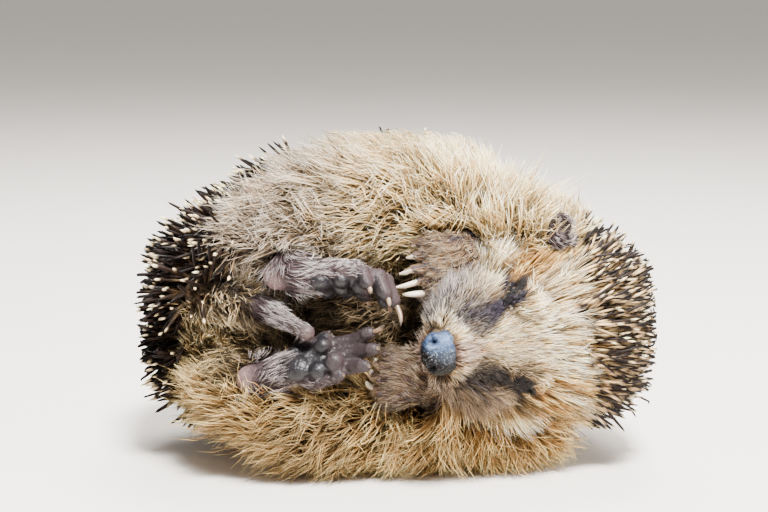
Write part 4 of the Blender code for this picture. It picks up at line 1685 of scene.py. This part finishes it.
@dataclass
class Claws:
    """The curved claws of one foot, as one piece."""

    name: str
    claws: list[Claw]
    base: Triple
    tip: Triple
    point: Triple
    # A station is (share of the way from root to tip, share of the thickness).
    stations: tuple = (
        (-0.22, 0.85), (0.0, 1.0), (0.25, 1.0), (0.5, 0.92), (0.72, 0.76), (0.90, 0.52), (1.0, 0.22),
    )
    sides: int = 10

    def build(self, material: Material) -> Object:
        """Models each claw as a hooked cone, a little flattened from side to side."""
        clay = Clay()
        shares = []
        for claw in self.claws:
            run = claw.tip - claw.root
            rings = []
            for t, thickness in self.stations:
                centre = claw.root + run * t + claw.back * (claw.hook * (1.0 - (2.0 * t - 1.0) ** 2))
                heading = (run - claw.back * claw.hook * 4.0 * (2.0 * t - 1.0)).normalized()
                up = (claw.back - heading * claw.back.dot(heading)).normalized()
                size = claw.radius * thickness
                rings.append((centre, heading.cross(up), size * 0.82, up, size))
                shares += [t] * self.sides
            clay.rings(rings, self.sides)
        body = clay.cast(self.name, 2)
        share = np.array(shares)
        tones = mix(np.array(self.base), np.array(self.tip), ramp(-0.05, 0.60, share))
        strong = [0.62 + 0.38 * (claw.radius > 1.02) for claw in self.claws]
        tones *= np.repeat(strong, len(self.stations) * self.sides)[:, None]
        tones = mix(tones, np.array(self.point), ramp(0.70, 0.95, share))
        paint(body.data, "coat", tones)
        body.data.materials.append(material)
        return body


@dataclass
class NosePad:
    """The naked nose: a round pad with a nostril on each side, folds beside them and a groove below."""

    head: Head
    voxel: float = 0.26
    # The pad's colours: grey-blue leather, a bluer tone that is painted sky reflection, a pale painted
    # highlight, and black for painted shade on its lower side.
    grey_blue: Triple = (0.036, 0.046, 0.066)
    blue: Triple = (0.045, 0.074, 0.150)
    painted_highlight: Triple = (0.20, 0.30, 0.50)
    black: Triple = (0.0045, 0.0036, 0.0036)

    def build(self, material: Material) -> Object:
        """Models the pad, narrows it behind, and carves and paints it."""
        head = self.head
        clay = Clay(-0.15)
        turn = axes_matrix(Vector(), head.right, head.up, -head.forward)
        clay.ball(head.point(4.4, 0.4), (5.9, 5.5, 5.4), turn)
        for side, _ in SIDES:
            clay.ball(head.point(3.2, 1.0, 3.3 * side), (3.0, 3.6, 3.3), turn)
            clay.ball(head.point(6.6, 1.1, 3.7 * side), (2.7, 3.9, 3.5), turn)
        clay.ball(head.point(4.6, -2.5), (2.8, 2.8, 3.0), turn)
        body = clay.fuse("nose_pad", self.voxel, 3)
        points, normals = positions(body.data), point_normals(body.data)
        b, u, r = head.local(points).T
        away = points - np.array(head.point(7.5, 0.3))
        ahead = np.array(-head.forward)
        away -= np.outer(away @ ahead, ahead)
        points = points - away * (0.55 * ramp(6.7, 7.9, b))[:, None]
        self.finish(body.data, points, normals, (b, u, r))
        body.data.shade_smooth()
        body.data.materials.append(material)
        return body

    def finish(self, mesh: Mesh, points: Array, normals: Array,
               local: Sequence[Array]) -> None:
        """Carves nostrils, slits, folds and groove into the pad, and stores its colours, painted shade and
        painted highlights among them, and where its painted glints lie.

        Args:
            mesh: The pad.
            points: Its points.
            normals: Their normals.
            local: Their places in the head's axes: back, up and right.
        """
        b, u, r = local
        side = np.abs(r)
        front = ramp(7.5, 5.0, b)
        mouth = 1.0 + 1.5 * ramp(0.0, 2.0, r)
        pit = np.exp(-(((side - 3.7) / 0.85) ** 2 + ((u - mouth) / 1.15) ** 2)) * front
        rim = np.exp(-((np.hypot((side - 3.6) / 1.25, (u - mouth) / 1.35) - 1.35) / 0.42) ** 2) * front
        slit_line = mouth - 0.42 * (side - 3.7) - 0.10 * (side - 3.7) ** 2
        slit = np.exp(-(((u - slit_line) / 0.32) ** 2)) * ramp(3.6, 4.4, side)
        fold = np.exp(-(((b - 5.4 - 0.25 * u) / 0.34) ** 2)) * ramp(1.4, 2.8, side)
        groove = np.exp(-((r / 0.36) ** 2)) * ramp(2.4, 0.2, u) * front
        depth = 1.5 + 0.8 * ramp(-1.0, 1.0, r)
        moved = -depth * pit + 0.32 * rim * (1.0 - pit) - 0.75 * slit - 0.22 * fold - 0.42 * groove
        move_points(mesh, points + normals * moved[:, None])

        # Painted shade in the nostrils, along the slits and in the groove.
        shade = np.clip(1.0 - 0.85 * pit - 0.5 * slit - 0.4 * groove, 0.1, 1.0)
        # Painted shade: the side turned down from the light blends into black.
        low = ramp(3.4, -0.4, 0.66 * r + 0.66 * u - 0.2)
        # Painted reflection: the upward side turns bluer, as the sky reflects in it.
        blue = mix(np.array(self.grey_blue), np.array(self.blue), ramp(-0.5, 2.5, r))
        # Painted highlights: two pale patches on the upper side, kept out of the nostrils' pits.
        upper = np.exp(-(((r - 4.2) / 1.3) ** 2 + ((u - 5.0) / 1.5) ** 2))
        painted_highlight = upper + 0.7 * np.exp(-(((r - 2.2) / 0.9) ** 2 + ((u - 1.9) / 1.5) ** 2))
        blue = mix(blue, np.array(self.painted_highlight), np.clip(0.8 * painted_highlight, 0.0, 0.8) * (1.0 - pit))
        # Painted shade along the fold round the right nostril.
        painted_fold_shade = np.exp(-(((np.hypot((r - 3.6) / 1.1, (u - 1.8) / 1.5) - 2.1) / 0.3) ** 2))
        painted_fold_shade = painted_fold_shade * ramp(3.0, 0.0, u - r)
        paint(mesh, "coat", mix(blue, np.array(self.black), low) * (shade * (1.0 - 0.6 * painted_fold_shade))[:, None])
        # Where the painted glints lie: the pebbled middle of the pad.
        middle = np.exp(-(((r + 0.6) / 2.4) ** 2)) * ramp(-3.5, 0.5, u)
        middle = middle * (1.0 - pit) * (1.0 - 0.7 * groove)
        glints_and_grain = mesh.attributes.new("glints_and_grain", "FLOAT", "POINT")
        glints_and_grain.data.foreach_set("value", (0.15 + 0.85 * middle).astype(np.float32))


@dataclass
class Eyeball:
    """A wet black eye behind its almost closed lids."""

    head: Head
    side: int
    name: str

    def build(self, material: Material) -> Object:
        """Models the ball, with the flatter bulge of the cornea in front."""
        head = self.head
        _, _, out = head.lid_axes(self.side)
        centre, radius = head.eye_centre(self.side), head.eye_radius
        clay = Clay()
        clay.ball(centre, radius)
        body = clay.cast(f"eyeball_{self.name}", 1)
        points = positions(body.data)
        away = unit(points - np.array(centre))
        bulge = 0.22 * ramp(0.75, 0.97, away @ np.array(out))
        move_points(body.data, points + away * bulge[:, None])
        body.data.materials.append(material)
        return body


# ---------------- finishes


class Wire:
    """A number that flows through a material, with ordinary arithmetic."""

    def __init__(self, sheet: "Sheet", socket: bpy.types.NodeSocket) -> None:
        """Wraps one output socket."""
        self.sheet = sheet
        self.socket = socket

    def __add__(self, other: "Wire | float") -> "Wire":
        """self + other."""
        return self.sheet.maths("ADD", self, other)

    def __radd__(self, other: float) -> "Wire":
        """other + self."""
        return self.sheet.maths("ADD", other, self)

    def __sub__(self, other: "Wire | float") -> "Wire":
        """self - other."""
        return self.sheet.maths("SUBTRACT", self, other)

    def __rsub__(self, other: float) -> "Wire":
        """other - self."""
        return self.sheet.maths("SUBTRACT", other, self)

    def __mul__(self, other: "Wire | float") -> "Wire":
        """self * other."""
        return self.sheet.maths("MULTIPLY", self, other)

    def __rmul__(self, other: float) -> "Wire":
        """other * self."""
        return self.sheet.maths("MULTIPLY", other, self)


class Sheet:
    """One material and the nodes laid out for it."""

    def __init__(self, name: str) -> None:
        """Starts an empty node tree."""
        self.material = bpy.data.materials.new(name)
        self.material.use_nodes = True
        self.tree = self.material.node_tree
        self.tree.nodes.clear()
        self.place = Wire(self, self.node("ShaderNodeTexCoord").outputs["Object"])

    def node(self, kind: str, settings: dict | None = None, inputs: dict | None = None) -> bpy.types.Node:
        """Makes a node.

        Args:
            kind: Its type.
            settings: Its own properties, which are set first.
            inputs: Values or wires for its sockets, by name or number.
        """
        made = self.tree.nodes.new(kind)
        for name, value in (settings or {}).items():
            setattr(made, name, value)
        for key, value in (inputs or {}).items():
            if isinstance(value, Wire):
                self.tree.links.new(value.socket, made.inputs[key])
            else:
                made.inputs[key].default_value = value
        return made

    def maths(self, operation: str, first: "Wire | float", second: "Wire | float") -> Wire:
        """One step of arithmetic."""
        made = self.node("ShaderNodeMath", {"operation": operation}, {0: first, 1: second})
        return Wire(self, made.outputs[0])

    def noise(self, size: float, detail: float = 3.0) -> Wire:
        """Noise in 0..1 whose features are size millimetres across."""
        inputs = {"Vector": self.place, "Scale": 1.0 / (size * MM), "Detail": detail}
        return Wire(self, self.node("ShaderNodeTexNoise", None, inputs).outputs["Fac"])

    def cells(self, size: float, feature: str = "F1") -> Wire:
        """Distance from the middle, or the edge, of cells that are size millimetres across."""
        inputs = {"Vector": self.place, "Scale": 1.0 / (size * MM)}
        return Wire(self, self.node("ShaderNodeTexVoronoi", {"feature": feature}, inputs).outputs["Distance"])

    def attribute(self, name: str, output: str = "Color") -> Wire:
        """A value stored on the mesh's points."""
        return Wire(self, self.node("ShaderNodeAttribute", {"attribute_name": name}).outputs[output])

    def tint(self, colour: Wire, factor: Wire) -> Wire:
        """A colour scaled by a number."""
        made = self.node("ShaderNodeVectorMath", {"operation": "SCALE"}, {0: colour, "Scale": factor})
        return Wire(self, made.outputs[0])

    def blend(self, first: "Wire | tuple", second: "Wire | tuple", share: Wire) -> Wire:
        """A colour between two."""
        made = self.node("ShaderNodeMix", {"data_type": "RGBA"}, {0: share, 6: first, 7: second})
        return Wire(self, made.outputs[2])

    def bump(self, height: Wire, distance: float, strength: float) -> Wire:
        """A bumped normal; distance is in millimetres."""
        inputs = {"Height": height, "Distance": distance * MM, "Strength": strength}
        return Wire(self, self.node("ShaderNodeBump", None, inputs).outputs[0])

    def finish(self, **sockets: object) -> Material:
        """Ends the material in one Principled shader, with its sockets by name (spaces as underscores)."""
        inputs = {name.replace("_", " "): value for name, value in sockets.items()}
        shader = self.node("ShaderNodeBsdfPrincipled", None, inputs)
        self.node("ShaderNodeOutputMaterial", None, {"Surface": Wire(self, shader.outputs[0])})
        return self.material


@dataclass(frozen=True)
class HairFinish:
    """Hair, coloured by its own attribute."""

    name: str = "hair"
    roughness: float = 0.52
    mottle: float = 0.16

    def build(self) -> Material:
        """Makes the material."""
        sheet = Sheet(self.name)
        speck = sheet.noise(1.1, 2.0)
        colour = sheet.tint(sheet.attribute("coat"), 1.0 - self.mottle * 0.5 + self.mottle * speck)
        rough = self.roughness + 0.12 * (sheet.noise(0.6, 1.0) - 0.5)
        return sheet.finish(Base_Color=colour, Roughness=rough, Specular_IOR_Level=0.25)


@dataclass(frozen=True)
class QuillFinish:
    """Smooth horn with fine lengthwise streaks."""

    name: str = "quill"
    roughness: float = 0.44

    def build(self) -> Material:
        """Makes the material."""
        sheet = Sheet(self.name)
        streak = sheet.noise(0.35, 3.0)
        colour = sheet.tint(sheet.attribute("coat"), 0.82 + 0.36 * streak)
        normal = sheet.bump(streak, 0.05, 0.35)
        rough = self.roughness + 0.2 * (streak - 0.5)
        return sheet.finish(Base_Color=colour, Roughness=rough, Specular_IOR_Level=0.12, Normal=normal)


@dataclass(frozen=True)
class SkinFinish:
    """Skin with the stubble of short hair, fine creases, and hard shiny pads."""

    name: str = "skin"

    def build(self) -> Material:
        """Makes the material."""
        sheet = Sheet(self.name)
        bare = sheet.attribute("bareness", "Fac")
        blotch = sheet.noise(3.0, 3.0)
        fine = sheet.cells(0.55, "DISTANCE_TO_EDGE")
        crease = sheet.maths("MINIMUM", sheet.cells(1.5, "DISTANCE_TO_EDGE") * 6.0, 1.0)
        # The skin's own blotches, with painted shade darkening the creases.
        colour = sheet.tint(sheet.attribute("coat"), (0.62 + 0.66 * blotch) * (0.72 + 0.28 * crease))
        height = sheet.noise(0.35, 3.0) * 0.6 + fine * 0.9 + sheet.noise(1.6, 2.0) * 1.2 + crease * 0.8
        rough = 0.74 - 0.34 * bare + 0.16 * (sheet.noise(0.8, 2.0) - 0.5)
        normal = sheet.bump(height, 0.17, 0.65)
        return sheet.finish(
            Base_Color=colour, Roughness=rough, Specular_IOR_Level=0.22, Normal=normal,
            Coat_Weight=0.20 * bare, Coat_Roughness=0.34,
        )


@dataclass(frozen=True)
class NoseFinish:
    """The pebbled, moist leather of the nose, with painted glints on the pebbles and painted shade between
    them.
    """

    name: str = "nose_leather"

    def build(self) -> Material:
        """Makes the material."""
        sheet = Sheet(self.name)
        pebble, patch = sheet.cells(0.62), sheet.noise(1.3, 2.0)
        # Painted glints: pale specks on the pebbles, standing in for highlights.
        painted_glints = sheet.maths("MAXIMUM", 1.0 - 2.4 * pebble, 0.0) * sheet.attribute("glints_and_grain", "Fac")
        painted_glints = painted_glints * sheet.maths("MINIMUM", sheet.maths("MAXIMUM", 5.0 * (patch - 0.42), 0.15), 1.0)
        # Lighter on the pebbles and darker between them as painted shade, with random patches.
        colour = sheet.tint(sheet.attribute("coat"), 1.35 - 0.9 * pebble + 0.7 * (patch - 0.5))
        colour = sheet.blend(colour, (0.30, 0.34, 0.38, 1.0), painted_glints)
        rough = 0.34 + 0.2 * (sheet.noise(0.9, 2.0) - 0.5)
        normal = sheet.bump(1.0 - pebble, 0.26, 0.8)
        return sheet.finish(Base_Color=colour, Roughness=rough, Specular_IOR_Level=0.10, Normal=normal)


@dataclass(frozen=True)
class ClawFinish:
    """Translucent-looking horn with growth rings."""

    name: str = "claw_horn"

    def build(self) -> Material:
        """Makes the material."""
        sheet = Sheet(self.name)
        glints_and_grain = sheet.noise(0.5, 3.0)
        colour = sheet.tint(sheet.attribute("coat"), 0.80 + 0.40 * glints_and_grain)
        normal = sheet.bump(sheet.noise(0.3, 2.0), 0.05, 0.4)
        return sheet.finish(
            Base_Color=colour, Roughness=0.36 + 0.2 * (glints_and_grain - 0.5), Normal=normal, Coat_Weight=0.15,
            Subsurface_Weight=0.15, Subsurface_Scale=0.0012,
        )


@dataclass(frozen=True)
class EyeFinish:
    """A wet, almost black eye."""

    name: str = "eye_wet"

    def build(self) -> Material:
        """Makes the material."""
        sheet = Sheet(self.name)
        colour = sheet.blend((0.006, 0.005, 0.006, 1.0), (0.028, 0.016, 0.012, 1.0), sheet.noise(1.2, 2.0))
        rough = 0.24 + 0.06 * sheet.noise(0.8, 2.0)
        return sheet.finish(Base_Color=colour, Roughness=rough, Coat_Weight=0.1, Coat_Roughness=0.12)


@dataclass(frozen=True)
class FloorFinish:
    """A plain pale matt floor with a breath of unevenness."""

    name: str = "floor_pale"
    colour: tuple[float, float, float, float] = (0.76, 0.71, 0.66, 1.0)

    def build(self) -> Material:
        """Makes the material."""
        sheet = Sheet(self.name)
        wash = sheet.noise(90.0, 2.0)
        dark = tuple(part * 0.95 for part in self.colour[:3]) + (1.0,)
        colour = sheet.blend(dark, self.colour, wash)
        return sheet.finish(Base_Color=colour, Roughness=0.85 + 0.1 * (wash - 0.5), Specular_IOR_Level=0.2)


# ---------------- the studio


@dataclass(frozen=True)
class Lamp:
    """One soft area light, in metres and watts."""

    name: str
    place: Triple
    size: float
    power: float
    colour: Triple


@dataclass
class Studio:
    """The floor, the light and the camera, in metres."""

    target: Vector = field(default_factory=lambda: Vector((-0.004, 0.0, 0.0615)))
    elevation: float = 9.0
    distance: float = 0.562
    lens: float = 85.0
    lamps: tuple[Lamp, ...] = (
        Lamp("key", (0.12, -0.50, 0.95), 0.24, 66.0, (1.0, 0.98, 0.95)),
        Lamp("top", (0.05, 0.45, 0.85), 0.50, 19.0, (1.0, 0.985, 0.97)),
        Lamp("side", (0.95, -0.15, 0.45), 0.5, 9.0, (1.0, 0.95, 0.88)),
    )
    sun_power: float = 0.6
    sun_width: float = 50.0  # degrees
    sun_way: Triple = (-0.15, 0.35, -0.92)
    floor_radius: float = 14.0
    sky: tuple[float, float, float, float] = (0.93, 0.90, 0.87, 1.0)
    sky_strength: float = 0.50

    def build(self) -> None:
        """Sets everything up."""
        self.lay_floor()
        world = bpy.data.worlds.new("sky")
        bpy.context.scene.world = world
        world.use_nodes = True
        background = world.node_tree.nodes["Background"]
        background.inputs["Color"].default_value = self.sky
        background.inputs["Strength"].default_value = self.sky_strength
        for lamp in self.lamps:
            light = bpy.data.lights.new(lamp.name, "AREA")
            light.size = lamp.size
            light.energy = lamp.power
            light.color = lamp.colour
            self.aim(lamp.name, light, Vector(lamp.place), self.target - Vector(lamp.place))
        sun = bpy.data.lights.new("wash", "SUN")
        sun.energy = self.sun_power
        sun.angle = math.radians(self.sun_width)
        self.aim("wash", sun, Vector(), Vector(self.sun_way))
        self.set_camera()

    def lay_floor(self) -> None:
        """Lays the round floor, which isn't part of the model."""
        mesh = bmesh.new()
        bmesh.ops.create_circle(mesh, cap_ends=True, segments=96, radius=self.floor_radius)
        data = bpy.data.meshes.new("floor")
        mesh.to_mesh(data)
        mesh.free()
        floor = link("floor", data)
        data.materials.append(FloorFinish().build())
        floor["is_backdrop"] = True

    def set_camera(self) -> None:
        """Sets up the camera in front of the animal, a little above it."""
        camera = bpy.data.cameras.new("camera")
        camera.lens = self.lens
        camera.sensor_width = 36.0
        camera.clip_start = 0.02
        tilt = math.radians(self.elevation)
        away = Vector((0.0, -math.cos(tilt), math.sin(tilt))) * self.distance
        bpy.context.scene.camera = self.aim("camera", camera, self.target + away, -away)

    @staticmethod
    def aim(name: str, data: bpy.types.ID, place: Vector, way: Vector) -> Object:
        """Puts a lamp or a camera at a place, facing a direction.

        Args:
            name: Its name.
            data: Its settings.
            place: Where it stands.
            way: Where it looks.

        Returns:
            The object.
        """
        body = bpy.data.objects.new(name, data)
        body.location = place
        body.rotation_euler = way.to_track_quat("-Z", "Y").to_euler()
        bpy.context.scene.collection.objects.link(body)
        return body


# ---------------- assembly


@dataclass
class Hedgehog:
    """The whole animal."""

    low: Vector
    high: Vector

    def build(self) -> None:
        """Models, dresses and finishes every piece."""
        head = Head()
        markings = Markings(head)
        form = Skin(head)
        skin, hide = form.build(markings)
        skin.data.materials.append(SkinFinish().build())
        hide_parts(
            "head", "neck", "trunk", "tail", "hind_leg_right", "hind_leg_left", "front_leg_right",
            "front_leg_left", "ear_right", "ear_left",
        )
        self.enter(skin, "bare_skin")

        self.hard_pieces(head, form)
        coat = Coat(hide, markings, Lie(head), np.array(self.low) / MM, np.array(self.high) / MM)
        hair, quill = HairFinish().build(), QuillFinish().build()
        coat.fur(hair)
        coat.face(hair)
        coat.feet(hair)
        coat.whiskers(hair)
        coat.quills(quill)
        LOG.info("coat: %d triangles", coat.count)

    def hard_pieces(self, head: Head, form: Skin) -> None:
        """Models the eyes, the nose and the claws."""
        wet = EyeFinish().build()
        for side, word in SIDES:
            ball = Eyeball(head, side, word).build(wet)
            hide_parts(f"eye_{word}")
            self.enter(ball, "eye")
        nose = NosePad(head).build(NoseFinish().build())
        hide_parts("nose")
        self.enter(nose, "nose_pad")
        horn = ClawFinish().build()
        for part, claws in form.claws.items():
            colours = CLAW_AMBER if part in HIND_FEET else CLAW_CREAM
            self.enter(Claws(f"claws_{part.name.lower()}", claws, *colours).build(horn), "bare_skin")

    @staticmethod
    def enter(piece: Object, slot: str) -> None:
        """Lets a piece ride on the body."""
        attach(piece, ROOT)
        LOG.info("%s: %d faces", piece.name, len(piece.data.polygons))


def main() -> None:
    """Builds the scene."""
    logging.basicConfig(level=logging.INFO, format="%(message)s")
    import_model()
    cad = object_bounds()
    Studio().build()
    Hedgehog(*cad).build()


if __name__ == "__main__":
    main()
